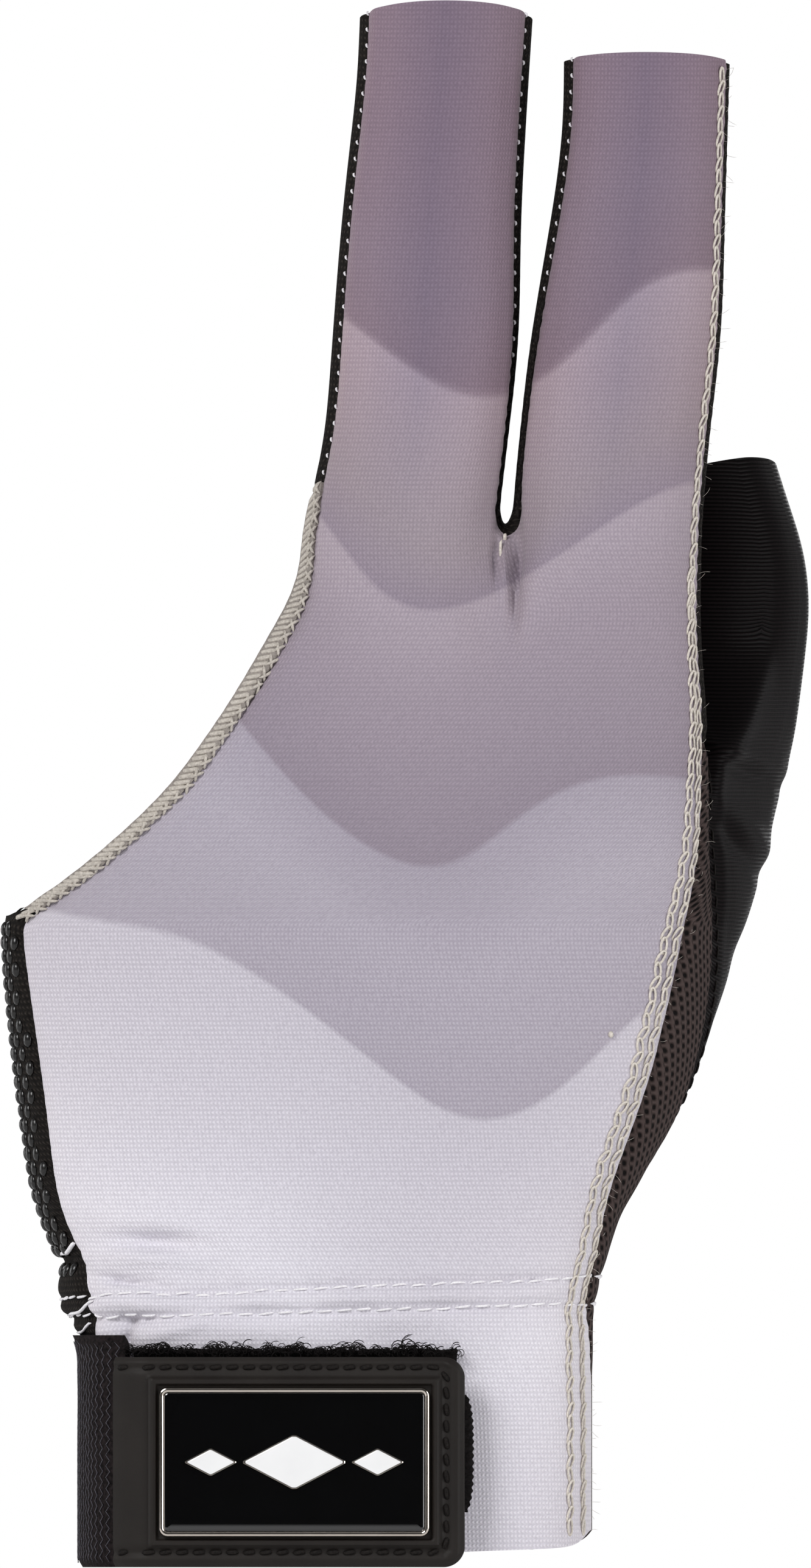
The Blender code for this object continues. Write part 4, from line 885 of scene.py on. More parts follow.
# Fine creases in the cloth: panel, middle, length, width and rise in millimetres, slope in degrees
CREASE_ROWS = (
    ("back_panel", -24.2, 40.2, 10.0, 1.1, -2.0, -1.45),
    ("back_panel", -24.5, 43.0, 14.0, 2.0, -6.0, 0.60),
    ("back_panel", -24.0, 37.9, 12.0, 1.3, -3.0, 1.00),
    ("back_panel", -28.3, 35.2, 6.5, 0.6, -9.0, -1.20),
    ("back_panel", -28.8, 32.8, 8.0, 1.1, 8.0, 0.80),
    ("back_panel", -27.0, 29.9, 7.0, 0.8, 6.0, -1.10),
    ("back_panel", -27.6, 27.6, 5.5, 0.7, 84.0, -1.40),
    ("back_panel", -30.2, 28.0, 5.0, 1.3, 88.0, 0.95),
    ("back_panel", -22.0, 28.6, 10.0, 1.0, 15.0, 0.60),
    ("back_panel", 6.8, 28.2, 10.0, 1.1, 6.0, -0.45),
    ("back_panel", -24.0, 34.6, 8.0, 0.8, -14.0, -0.45),
    ("palm_panel", -34.5, 33.5, 6.0, 2.0, 0.0, 0.90),
    ("palm_panel", -33.5, 29.4, 6.0, 0.9, 0.0, 0.30),
    ("palm_panel", -35.0, 37.6, 6.0, 1.1, 10.0, -0.80),
    ("back_panel", -12.0, 29.0, 14.0, 1.3, -4.0, 0.30),
    ("back_panel", 2.0, 29.2, 14.0, 1.2, 5.0, -0.25),
    ("back_panel", 14.0, 33.0, 16.0, 1.0, 2.0, 0.20),
    ("back_panel", 22.2, 125.0, 13.0, 0.8, 88.0, -1.50),
    ("back_panel", 20.9, 126.4, 8.0, 0.7, 92.0, 0.60),
    ("back_panel", 19.8, 127.0, 6.0, 0.5, 92.0, -0.90),
    ("back_panel", 24.8, 124.8, 13.0, 1.8, 76.0, 0.80),
    ("back_panel", 27.5, 121.0, 14.0, 2.0, 50.0, -0.30),
    ("back_panel", 16.5, 121.0, 14.0, 2.2, 120.0, -0.28),
    ("back_panel", 38.0, 66.0, 12.0, 2.2, 20.0, -0.25),
    ("back_panel", 40.5, 80.0, 12.0, 2.4, 14.0, -0.22),
    ("palm_panel", -8.0, 112.0, 22.0, 2.0, 20.0, -0.60),
    ("palm_panel", 10.0, 100.0, 34.0, 2.4, 14.0, -0.60),
    ("palm_panel", 0.0, 70.0, 44.0, 2.6, 38.0, -0.60),
    ("palm_panel", 6.0, 34.0, 40.0, 2.0, 3.0, -0.50),
    ("thumb_sleeve", 51.5, 100.2, 10.0, 1.0, -24.0, -0.50),
    ("thumb_sleeve", 51.0, 102.4, 11.0, 1.4, -22.0, 0.50),
    ("thumb_sleeve", 50.5, 90.8, 12.0, 1.1, -52.0, -0.55),
    ("thumb_sleeve", 52.4, 92.0, 12.0, 1.5, -50.0, 0.50),
    ("thumb_sleeve", 50.0, 78.0, 15.0, 1.8, -70.0, -0.35),
)


def closing_places(grid, keys, start):
    """Place along a row of cloth at each of its points, with the row's whole length at its end."""
    reach = reaches([grid[key] for key in keys + keys[:1]])
    return {key: start + way for key, way in zip(keys, reach)}, start + reach[-1]


def cloth_uvs(grid, faces, loop):
    """Place of each cell's corners on its flat cloth, in metres: along the row, and up."""
    rings = {}
    for row in range(len(HAND_LEVELS)):
        keys = [("hand", row, column) for column in range(RING_COLUMNS)]
        rings["hand", row] = closing_places(grid, keys, 0.0)
    top = len(HAND_LEVELS) - 1
    for name, columns in FINGER_ORDERS.items():
        start = rings["hand", top][0]["hand", top, columns[0]]
        for row in range(len(FINGER_LEVELS[name])):
            keys = [grid_key(name, row, column) for column in columns]
            rings[name, row] = closing_places(grid, keys, start)
    uvs = {panel: [] for panel in faces}
    for panel, cells in faces.items():
        for number, cell in enumerate(cells):
            if panel == "thumb_sleeve":
                place = number % len(loop)
                across = [(place + step) / len(loop) * THUMB_GIRTH for step in (0, 1, 1, 0)]
            elif panel == "opening_hem":
                across = [0.0, HEM_WIDTH, HEM_WIDTH, 0.0]
            else:
                name = next((key[0] for key in cell if key[0] in FINGERS), "hand")
                high = max(key[1] for key in cell if key[0] == name)
                rows = (rings[name, high - 1], rings[name, high])
                across = [rows[side][0].get(key, 0.0) for key, side in zip(cell, (0, 0, 1, 1))]
                for before, after, side in ((0, 1, 0), (3, 2, 1)):
                    if across[after] < across[before]:
                        across[after] = rows[side][1]
            uvs[panel].append([(u, grid[key].z) for u, key in zip(across, cell)])
    return uvs


def make_skin():
    """Whole skin of the glove as one fine mesh, with the panel of each face as its material."""
    grid = hand_points()
    faces = hand_faces()
    faces["thumb_sleeve"] = thumb_grid(grid)
    uvs = cloth_uvs(grid, faces, thumb_hole(grid))
    order = {}
    polygons = []
    panels = []
    corners = []
    for number, panel in enumerate(PANELS):
        for cell, places in zip(faces[panel], uvs[panel]):
            polygons.append([order.setdefault(key, len(order)) for key in cell])
            panels.append(number)
            corners += [value for place in places for value in place]
    mesh = bpy.data.meshes.new("skin")
    mesh.from_pydata([grid[key] for key in order], [], polygons)
    layer = mesh.uv_layers.new(name="cloth")
    layer.data.foreach_set("uv", corners)
    for panel in PANELS:
        mesh.materials.append(None)
    mesh.polygons.foreach_set("material_index", panels)
    mesh.shade_smooth()
    coarse = link_piece("skin", mesh)
    finer = coarse.modifiers.new("finer", "SUBSURF")
    finer.levels = SKIN_LEVELS
    finer.use_limit_surface = True
    graph = bpy.context.evaluated_depsgraph_get()
    fine = bpy.data.meshes.new_from_object(coarse.evaluated_get(graph))
    bpy.data.objects.remove(coarse, do_unlink=True)
    return grid, fine


def read_mesh(mesh):
    """Points, normals, faces, panels and cloth places of a mesh of quads."""
    points = np.empty(len(mesh.vertices) * 3)
    mesh.vertices.foreach_get("co", points)
    normals = np.empty(len(mesh.vertices) * 3)
    mesh.vertex_normals.foreach_get("vector", normals)
    quads = np.empty(len(mesh.loops), dtype=int)
    mesh.loops.foreach_get("vertex_index", quads)
    panels = np.empty(len(mesh.polygons), dtype=int)
    mesh.polygons.foreach_get("material_index", panels)
    places = np.empty(len(mesh.loops) * 2)
    mesh.uv_layers["cloth"].data.foreach_get("uv", places)
    return (
        points.reshape(-1, 3), normals.reshape(-1, 3), quads.reshape(-1, 4), panels,
        places.reshape(-1, 4, 2),
    )


def bell(value, width):
    """Smooth hump of height 1 at 0."""
    return np.exp(-((value / width) ** 2))


def panel_range(points, quads, panels):
    """Lowest and highest number of the panels that meet at each point."""
    low = np.full(len(points), len(PANELS))
    high = np.full(len(points), -1)
    for corner in range(4):
        np.minimum.at(low, quads[:, corner], panels)
        np.maximum.at(high, quads[:, corner], panels)
    return low, high


def tree_of(points, chosen):
    """Search tree over the chosen points."""
    tree = KDTree(len(chosen))
    for index in chosen:
        tree.insert(points[index], int(index))
    tree.balance()
    return tree


def relief(points, quads, panels):
    """Rise of the cloth out of the plain skin: creases, sewn seams and the stitched wrist."""
    low, high = panel_range(points, quads, panels)
    tree = tree_of(points, np.nonzero(low != high)[0])
    away = np.array([tree.find(point)[2] for point in points])
    x, z = points[:, 0], points[:, 2]
    rise = -SEAM_DIP * bell(away, SEAM_WIDTH)
    rise += 0.4 * SEAM_DIP * bell(away - SWELL_FROM_SEAM, SWELL_WIDTH)
    ripple = np.sin(z * 2 * math.pi / SEAM_PITCH)
    rise += RIPPLE_RISE * ripple * bell(away - RIPPLE_WIDTH, RIPPLE_WIDTH)
    rise *= 1.0 - 0.95 * np.clip((x - 0.028) / 0.002, 0, 1) * np.clip((0.026 - z) / 0.003, 0, 1)
    calm = 1.0 - 0.7 * np.clip((x - 0.024) / 0.006, 0.0, 1.0)
    middles = []
    for height, slope in WRIST_ROWS:
        from_row = z - height - slope * x
        middles.append(from_row)
        uneven = 1.0 + 0.35 * np.sin(x * 900 + height * 9000) * np.sin(x * 411)
        rise -= WRIST_DIP * calm * uneven * bell(from_row, WRIST_WIDTH)
    between = (middles[0] + middles[1]) / 2
    puff = WRIST_PUFF * calm * (0.7 + 0.3 * np.sin(x * 520 + 1.0))
    rise += puff * (bell(between, 0.0011) + 0.5 * bell(between - 0.0036, 0.0014))
    for row in CREASE_ROWS:
        crease = dict(zip(CREASE_COLUMNS, row))
        panel = PANELS.index(crease["panel"])
        turn = math.radians(crease["slope"])
        across = x - crease["x"] / 1000
        up = z - crease["height"] / 1000
        along = (across * math.cos(turn) + up * math.sin(turn)) * 2000 / crease["length"]
        aside = (up * math.cos(turn) - across * math.sin(turn)) * 1000 / crease["width"]
        on_panel = (low <= panel) & (high >= panel)
        rise += on_panel * crease["rise"] / 1000 * bell(along, 1.0) * bell(aside, 1.0)
    return rise


def panel_piece(name, number, points, normals, quads, panels, places, wall, proud=0.0):
    """Closed cloth panel cut from the skin: an outer face, an inner face and the cut edge."""
    mine = panels == number
    cells = quads[mine]
    used, cells = np.unique(cells, return_inverse=True)
    cells = cells.reshape(-1, 4)
    outer = points[used] + normals[used] * proud
    inner = points[used] - normals[used] * (wall - proud)
    count = len(used)
    sides = np.concatenate([cells[:, (i, (i + 1) % 4)] for i in range(4)])
    codes = sides[:, 0] * count + sides[:, 1]
    back_codes = sides[:, 1] * count + sides[:, 0]
    border = sides[~np.isin(codes, back_codes)]
    rim = np.stack((border[:, 1], border[:, 0], border[:, 0] + count, border[:, 1] + count), 1)
    every = np.concatenate((cells, cells[:, ::-1] + count, rim))
    mesh = bpy.data.meshes.new(name)
    mesh.from_pydata(np.concatenate((outer, inner)), [], every)
    flat = places[mine]
    rim_places = np.zeros((len(rim), 4, 2))
    layer = mesh.uv_layers.new(name="cloth")
    layer.data.foreach_set("uv", np.concatenate((flat, flat[:, ::-1], rim_places)).ravel())
    mesh.shade_smooth()
    mesh.set_sharp_from_angle(angle=math.radians(50))
    return link_piece(name, mesh)


def link_piece(name, mesh):
    """New object for a mesh, in the scene."""
    piece = bpy.data.objects.new(name, mesh)
    bpy.context.scene.collection.objects.link(piece)
    return piece


def circle(count):
    """Cosine and sine of equal turns round a circle."""
    return [(math.cos(turn), math.sin(turn)) for turn in steps(0.0, 2 * math.pi, count)]


def tube_faces(rings, sides):
    """Faces round a tube of rings, with one more over each end."""
    faces = []
    for first in range(0, (rings - 1) * sides, sides):
        for side in range(sides):
            a = first + side
            b = first + (side + 1) % sides
            faces.append((a, a + sides, b + sides, b))
    last = (rings - 1) * sides
    faces.append(tuple(range(sides)))
    faces.append(tuple(range(last + sides - 1, last - 1, -1)))
    return faces


class Cluster:
    """Many small forms that are joined in one mesh."""

    def __init__(self):
        self.points = []
        self.faces = []
        self.count = 0

    def add(self, points, faces):
        self.points.append(np.asarray(points))
        self.faces += [[index + self.count for index in face] for face in faces]
        self.count += len(points)

    def place(self, form, origin, along, side, up):
        """Add a form with its x, y and z laid along three vectors."""
        points, faces = form
        axes = np.array((along, side, up))
        self.add(np.asarray(origin) + points @ axes, faces)

    def tube(self, line, radius, sides=5):
        """Add a thin tube with tapered ends along a line of points."""
        guide = Vector((0.31, 0.17, 0.93))
        rings = []
        for place, point in enumerate(line):
            ahead = line[min(place + 1, len(line) - 1)] - line[max(place - 1, 0)]
            ahead.normalize()
            side = ahead.cross(guide).normalized()
            up = side.cross(ahead)
            thin = 0.35 if place in (0, len(line) - 1) else 1.0
            rings += [point + (side * across + up * rise) * radius * thin for across, rise in circle(sides)]
        self.add([tuple(point) for point in rings], tube_faces(len(line), sides))

    def piece(self, name):
        mesh = bpy.data.meshes.new(name)
        mesh.from_pydata(np.concatenate(self.points), [], self.faces)
        mesh.shade_smooth()
        return link_piece(name, mesh)


def stitch_form(sides=6, stations=6):
    """Stitch of unit length along x, unit thickness, with its ends sunk."""
    points = []
    for station in range(stations + 1):
        x = station / stations - 0.5
        swell = math.sqrt(max(1.0 - (2 * x) ** 4, 0.06))
        sink = -0.75 * (2 * x) ** 4
        points += [(x, swell * side / 2, sink + swell * rise / 2) for side, rise in circle(sides)]
    return np.array(points), tube_faces(stations + 1, sides)


def bead_form(sides=10, rings=4):
    """Half of a ball of unit radius, closed underneath."""
    points = []
    for ring in range(rings):
        lift = math.radians(90 * ring / rings)
        wide = math.cos(lift)
        points += [(wide * along, wide * side, math.sin(lift)) for along, side in circle(sides)]
    points.append((0.0, 0.0, 1.0))
    faces = [face[::-1] for face in tube_faces(rings, sides)[:-1]]
    top = rings * sides
    for side in range(sides):
        faces.append((top - sides + side, top - sides + (side + 1) % sides, top))
    return np.array(points), faces


STITCH = stitch_form()
BEAD = bead_form()
UP = Vector((0.0, 0.0, 1.0))


def spaced(line, pitch):
    """Points at an even pitch along a line, each with the direction there."""
    count = max(int(reaches(line)[-1] / pitch), 1)
    found = resample(line, count)
    pairs = []
    for step, point in enumerate(found):
        ahead = found[min(step + 1, count)] - found[max(step - 1, 0)]
        pairs.append((point, ahead.normalized()))
    return pairs


def on_skin(point):
    """Nearest point of the skin, and the way out of it."""
    return SKIN.find_nearest(point)[:2]


def seen(x, z):
    """Point of the skin that the front view shows at x and z, and the way out of it."""
    return SKIN.ray_cast(Vector((x, -0.1, z)), Vector((0.0, 1.0, 0.0)))[:2]


def laid(line, pitch, aside, wobble):
    """Places of stitches on the skin along a line: each spot, the way ahead and the way out."""
    for point, ahead in spaced(line, pitch):
        spot, out = on_skin(point)
        side = out.cross(ahead).normalized()
        spot, out = on_skin(spot + side * (aside + wobble * CHANCE.uniform(-1, 1)))
        yield spot, (ahead - out * ahead.dot(out)).normalized(), out


def turned(ahead, out, turn):
    """The way ahead, turned about the way out."""
    return ahead * math.cos(turn) + out.cross(ahead) * math.sin(turn)


def sew(into, line, pitch, length, thick, aside=0.0, slant=0.0, lift=0.0, wobble=0.0):
    """Row of stitches on the skin along a line, moved aside across the cloth."""
    for spot, ahead, out in laid(line, pitch, aside, wobble):
        along = turned(ahead, out, math.radians(slant) + wobble * 300 * CHANCE.uniform(-1, 1))
        origin = spot + out * (thick * 0.35 + lift)
        into.place(STITCH, origin, along * length, out.cross(along) * thick, out * thick)


def loop_form(length, width, radius, sides=5, stations=14):
    """Loop of thread that lies flat, with its far end lifted."""
    points = []
    faces = []
    for station, (along, across) in enumerate(circle(stations)):
        middle = np.array((along * length / 2, across * width / 2, along * radius))
        away = np.array((along * width, across * length, 0.0))
        away = away / np.linalg.norm(away)
        a = station * sides
        b = (station + 1) % stations * sides
        for side, (out, rise) in enumerate(circle(sides)):
            points.append(middle + radius * (away * out + np.array((0, 0, rise))))
            after = (side + 1) % sides
            faces.append((a + side, b + side, b + after, a + after))
    return np.array(points), faces


def chain(into, line, pitch, form):
    """Chain stitches on the skin: a row of loops, each through the one before."""
    for step, (spot, ahead, out) in enumerate(laid(line, pitch, 0.0, 0.00006)):
        turn = math.radians(16) * (-1) ** step * CHANCE.uniform(0.6, 1.4)
        along = turned(ahead, out, turn)
        into.place(form, spot + out * 0.00016, along, out.cross(along), out)


def srgb(code, alpha=1.0):
    """Linear colour from a hexadecimal one."""
    parts = [int(code[i:i + 2], 16) / 255 for i in (0, 2, 4)]
    return (*[c / 12.92 if c <= 0.04045 else ((c + 0.055) / 1.055) ** 2.4 for c in parts], alpha)


class Finish:
    """A procedural material and short calls to add its nodes."""

    def __init__(self, name, roughness, metallic=0.0, coat=0.0, sheen=0.0, specular=0.5):
        self.made = bpy.data.materials.new(name)
        self.made.use_nodes = True
        self.nodes = self.made.node_tree.nodes
        self.links = self.made.node_tree.links
        self.shader = self.nodes["Principled BSDF"]
        values = {
            "Roughness": roughness, "Metallic": metallic, "Coat Weight": coat,
            "Coat Roughness": 0.04, "Sheen Weight": sheen, "Sheen Roughness": 0.40,
            "Specular IOR Level": specular,
        }
        for socket, value in values.items():
            self.shader.inputs[socket].default_value = value
        places = self.nodes.new("ShaderNodeTexCoord").outputs
        self.here = places["Object"]
        self.way = places["Normal"]
        self.cloth = self.nodes.new("ShaderNodeUVMap")
        self.cloth.uv_map = "cloth"
        self.flat = self.cloth.outputs["UV"]

    def put(self, socket, value):
        if hasattr(value, "is_output"):
            self.links.new(value, socket)
        else:
            socket.default_value = value

    def math(self, kind, first, second=0.0, third=0.0):
        made = self.nodes.new("ShaderNodeMath")
        made.operation = kind
        for socket, value in zip(made.inputs, (first, second, third)):
            self.put(socket, value)
        return made.outputs[0]

    def split(self, vector):
        made = self.nodes.new("ShaderNodeSeparateXYZ")
        self.put(made.inputs[0], vector)
        return made.outputs

    def noise(self, size, detail=2.0):
        made = self.nodes.new("ShaderNodeTexNoise")
        self.put(made.inputs["Vector"], self.here)
        made.inputs["Scale"].default_value = 1.0 / size
        made.inputs["Detail"].default_value = detail
        return made.outputs["Fac"]

    def wave(self, value, pitch):
        """Wave from 0 to 1 of a value in metres."""
        turn = self.math("MULTIPLY", value, 2 * math.pi / pitch)
        return self.math("MULTIPLY_ADD", self.math("SINE", turn), 0.5, 0.5)

    def ramp(self, value, stops):
        made = self.nodes.new("ShaderNodeValToRGB")
        row = made.color_ramp.elements
        while len(row) < len(stops):
            row.new(0.5)
        for place, (position, tone) in enumerate(stops):
            row[place].position = position
            row[place].color = srgb(tone)
        self.put(made.inputs[0], value)
        return made.outputs["Color"]

    def blend(self, share, first, second, kind="MIX"):
        made = self.nodes.new("ShaderNodeMix")
        made.data_type = "RGBA"
        made.blend_type = kind
        self.put(made.inputs[0], share)
        self.put(made.inputs[6], first)
        self.put(made.inputs[7], second)
        return made.outputs[2]

    def bump(self, height, depth, strength=1.0):
        made = self.nodes.new("ShaderNodeBump")
        made.inputs["Strength"].default_value = strength
        made.inputs["Distance"].default_value = depth
        self.put(made.inputs["Height"], height)
        self.links.new(made.outputs["Normal"], self.shader.inputs["Normal"])

    def colour(self, value):
        self.put(self.shader.inputs["Base Color"], value)

    def knit(self, row, column):
        """Height of a plain knit: rows and columns of small loops on the flat cloth."""
        across, up = self.split(self.flat)[:2]
        rows = self.wave(up, row)
        shifted = self.math("MULTIPLY_ADD", rows, column * 0.25, across)
        return self.math("MULTIPLY", rows, self.wave(shifted, column))


def printed_cloth():
    """Smooth stretch cloth, printed with broad wavy bands from mauve-grey to pale lilac."""
    cloth = Finish("printed_cloth", 0.82, sheen=0.25, specular=0.25)
    here = cloth.split(cloth.here)
    x, z = here[0], here[2]
    swell = cloth.math("SINE", cloth.math("MULTIPLY_ADD", x, 62.0, 0.9))
    lean = cloth.math("MULTIPLY_ADD", x, 0.16, cloth.math("MULTIPLY", swell, 0.0095))
    drift = cloth.math("SINE", cloth.math("MULTIPLY_ADD", z, 70.0, 0.6))
    small = cloth.math("SINE", cloth.math("MULTIPLY_ADD", x, 128.0, drift))
    height = cloth.math("ADD", z, cloth.math("MULTIPLY_ADD", small, 0.0038, lean))
    tones = (
        (0.000, "e0dde4"), (0.170, "eceaf0"), (0.245, "dedbe2"), (0.345, "d2ced6"),
        (0.3475, "b6b0ba"), (0.440, "bab4be"), (0.500, "b0a9b4"), (0.5025, "9b919c"),
        (0.600, "a69ba5"), (0.660, "b2a7b0"), (0.6625, "9a8f9b"), (0.700, "a3989f"),
        (0.795, "b2a6af"), (0.7975, "8e808c"), (0.860, "908390"), (0.960, "8f808d"),
    )
    share = cloth.math("MULTIPLY", height, 1.0 / 0.205)
    colour = cloth.ramp(share, tones)
    knit = cloth.knit(0.00060, 0.00050)
    speck = cloth.noise(0.00035, 1.0)
    fine = cloth.math("MULTIPLY_ADD", speck, 0.55, cloth.math("MULTIPLY", knit, 0.7))
    shade = cloth.ramp(fine, [(0.20, "aaa5ae"), (0.85, "ffffff")])
    colour = cloth.blend(0.42, colour, shade, "MULTIPLY")
    # Paler, warmer tint on the fingers where their sides turn aside in x: painted sheen at the grazing
    # sides, together with the lighter look of the cloth stretched there
    facing = cloth.split(cloth.way)
    sheen_and_stretch = cloth.math("MULTIPLY", cloth.math("ABSOLUTE", facing[0]), 0.9)
    on_fingers = cloth.math("MAXIMUM", cloth.math("MULTIPLY_ADD", z, 40.0, -5.0), 0.25)
    on_fingers = cloth.math("MINIMUM", on_fingers, 1.0)
    sheen_and_stretch_tint = cloth.ramp(sheen_and_stretch, [(0.0, "e2dfe8"), (0.45, "fbf4f6"), (0.9, "fff3f1")])
    cloth.colour(cloth.blend(on_fingers, colour, cloth.blend(1.0, colour, sheen_and_stretch_tint, "MULTIPLY")))
    cloth.bump(cloth.math("MULTIPLY_ADD", speck, 0.7, knit), 0.00014, 0.5)
    return cloth.made


def grip_cloth():
    """Black knit of the palm and the finger sides."""
    cloth = Finish("grip_cloth", 0.90, specular=0.12)
    knit = cloth.knit(0.00075, 0.00068)
    speck = cloth.noise(0.0006, 3.0)
    cloth.colour(cloth.ramp(
        cloth.math("MULTIPLY_ADD", knit, 0.6, cloth.math("MULTIPLY", speck, 0.5)),
        [(0.15, "0d0b0b"), (0.55, "26221f"), (0.95, "3a3532")],
    ))
    cloth.bump(cloth.math("MULTIPLY_ADD", speck, 0.6, knit), 0.00030, 0.9)
    return cloth.made


def mesh_cloth():
    """Brown-black mesh of the side strip: columns of small oval holes."""
    cloth = Finish("mesh_cloth", 0.90, specular=0.12)
    across, up = cloth.split(cloth.flat)[:2]
    column = cloth.wave(across, 0.00230)
    shifted = cloth.math("MULTIPLY_ADD", cloth.math("GREATER_THAN", column, 0.5), 0.0006, up)
    holes = cloth.math("MULTIPLY", cloth.wave(across, 0.00115), cloth.wave(shifted, 0.00120))
    speck = cloth.noise(0.0005, 3.0)
    cloth.colour(cloth.ramp(
        cloth.math("MULTIPLY_ADD", speck, 0.3, holes),
        [(0.10, "4a3f3d"), (0.45, "352c2a"), (0.85, "100d0d")],
    ))
    cloth.bump(cloth.math("SUBTRACT", cloth.math("MULTIPLY", speck, 0.25), holes), 0.00035, 0.9)
    return cloth.made


def sleek_cloth():
    """Black smooth stretch cloth of the thumb, with a soft sheen and fine rows."""
    cloth = Finish("sleek_cloth", 0.42, specular=0.06)
    rows = cloth.wave(cloth.split(cloth.flat)[1], 0.00050)
    speck = cloth.noise(0.0004, 2.0)
    cloth.colour(cloth.ramp(
        cloth.math("MULTIPLY_ADD", rows, 0.7, cloth.math("MULTIPLY", speck, 0.3)),
        [(0.2, "050404"), (0.8, "171213")],
    ))
    cloth.bump(cloth.math("MULTIPLY_ADD", speck, 0.4, rows), 0.00009, 0.7)
    return cloth.made


def thread(name, dark, pale, roughness=0.75, size=0.00025, specular=0.25):
    """Sewing thread, mottled by its twist."""
    yarn = Finish(name, roughness, specular=specular)
    speck = yarn.noise(size, 2.0)
    yarn.colour(yarn.ramp(speck, [(0.3, dark), (0.7, pale)]))
    yarn.bump(speck, 0.00006, 0.6)
    return yarn.made


def soft_rubber():
    """Warm black rubber of the tab, matt and slightly grainy."""
    rubber = Finish("soft_rubber", 0.55, specular=0.22)
    grain = rubber.noise(0.00040, 3.0)
    broad = rubber.noise(0.009, 2.0)
    rubber.colour(rubber.ramp(broad, [(0.3, "1a1614"), (0.7, "211d1a")]))
    rubber.put(
        rubber.shader.inputs["Roughness"],
        rubber.math("MULTIPLY_ADD", broad, 0.16, 0.50),
    )
    rubber.bump(grain, 0.00005, 0.5)
    return rubber.made


def plain_finish(name, colour, roughness, metallic=0.0, coat=0.0, wear=0.06, size=0.004):
    """Hard finish with a slight unevenness of its gloss."""
    hard = Finish(name, roughness, metallic, coat)
    broad = hard.noise(size, 3.0)
    hard.colour(hard.blend(broad, srgb(colour[0]), srgb(colour[1])))
    hard.put(hard.shader.inputs["Roughness"], hard.math("MULTIPLY_ADD", broad, wear, roughness))
    return hard.made


def dress(piece, finish, slot_name, *nodes):
    """Give a piece its finish, put it on the body and hide the model's parts that it takes the place of."""
    piece.data.materials.clear()
    piece.data.materials.append(finish)
    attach(piece, "root")
    if nodes:
        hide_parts(*nodes)
    return piece


def column_line(name, column, start, end=None):
    """Line of grid points up one column of the hand or a finger, over some of its rows."""
    return [GRID[name, row, column] for row in range(len(LEVELS[name]))[start:end]]


CHANCE = random.Random(7)
GRID, fine_skin = make_skin()
points, normals, quads, panels, places = read_mesh(fine_skin)
points = points + normals * relief(points, quads, panels)[:, None]
fine_skin.vertices.foreach_set("co", points.ravel())
fine_skin.update()
points, normals, quads, panels, places = read_mesh(fine_skin)
SKIN = BVHTree.FromPolygons([tuple(point) for point in points], quads.tolist())

finishes = {
    "printed_cloth": printed_cloth(),
    "grip_cloth": grip_cloth(),
    "mesh_cloth": mesh_cloth(),
    "sleek_cloth": sleek_cloth(),
    "hem_cloth": thread("hem_cloth", "7d7671", "98918b"),
    "pale_thread": thread("pale_thread", "bfb7ae", "dfd8ce"),
    "white_thread": thread("white_thread", "dcd9de", "f6f4f6"),
    "black_thread": thread("black_thread", "0d0b0a", "201c1a", specular=0.15),
    "grey_thread": thread("grey_thread", "2d2b2f", "55535a"),
    "hem_thread": thread("hem_thread", "a49d95", "c8c1b8"),
}

# The cloth panels: slot, wall, flat size and area of each
CLOTHS = {
    "back_panel": ("printed_cloth", 0.0009, (0.098, 0.205), 0.0120),
    "palm_panel": ("grip_cloth", 0.0009, (0.128, 0.205), 0.0150),
    "side_gusset": ("mesh_cloth", 0.0009, (0.024, 0.105), 0.0017),
    "thumb_sleeve": ("sleek_cloth", 0.0008, (0.078, 0.095), 0.0055),
}
HEM_CLOTH_WALL = 0.0017
HEM_PROUD = 0.00035
skin_parts = (points, normals, quads, panels, places)
cloths = {}
for name, (slot_name, wall, flat, area) in CLOTHS.items():
    piece = panel_piece(name + "_cloth", PANELS.index(name), *skin_parts, wall)
    cloths[name] = dress(piece, finishes[slot_name], slot_name, name)
hem = panel_piece(
    "opening_hem_cloth", PANELS.index("opening_hem"), *skin_parts, HEM_CLOTH_WALL, HEM_PROUD
)
dress(hem, finishes["hem_cloth"], "pale_thread", "opening_hem")

# The measures of each kind of stitch, as sew takes them
STITCHES = {
    "hem": {"pitch": 0.0019, "length": 0.0021, "thick": 0.00042, "wobble": 0.0001},
    "finger": {
        "pitch": 0.0021, "length": 0.0007, "thick": 0.0003, "aside": 0.0001, "slant": 20.0,
        "lift": 0.00004, "wobble": 0.00012,
    },
    "wrist": {
        "pitch": 0.0025, "length": 0.0021, "thick": 0.00034, "slant": 5.0, "lift": 0.00004,
        "wobble": 0.00012,
    },
    "dark": {"pitch": 0.0021, "length": 0.0019, "thick": 0.00026},
    "scallop": {"pitch": 0.0021, "length": 0.0013, "thick": 0.0006},
}

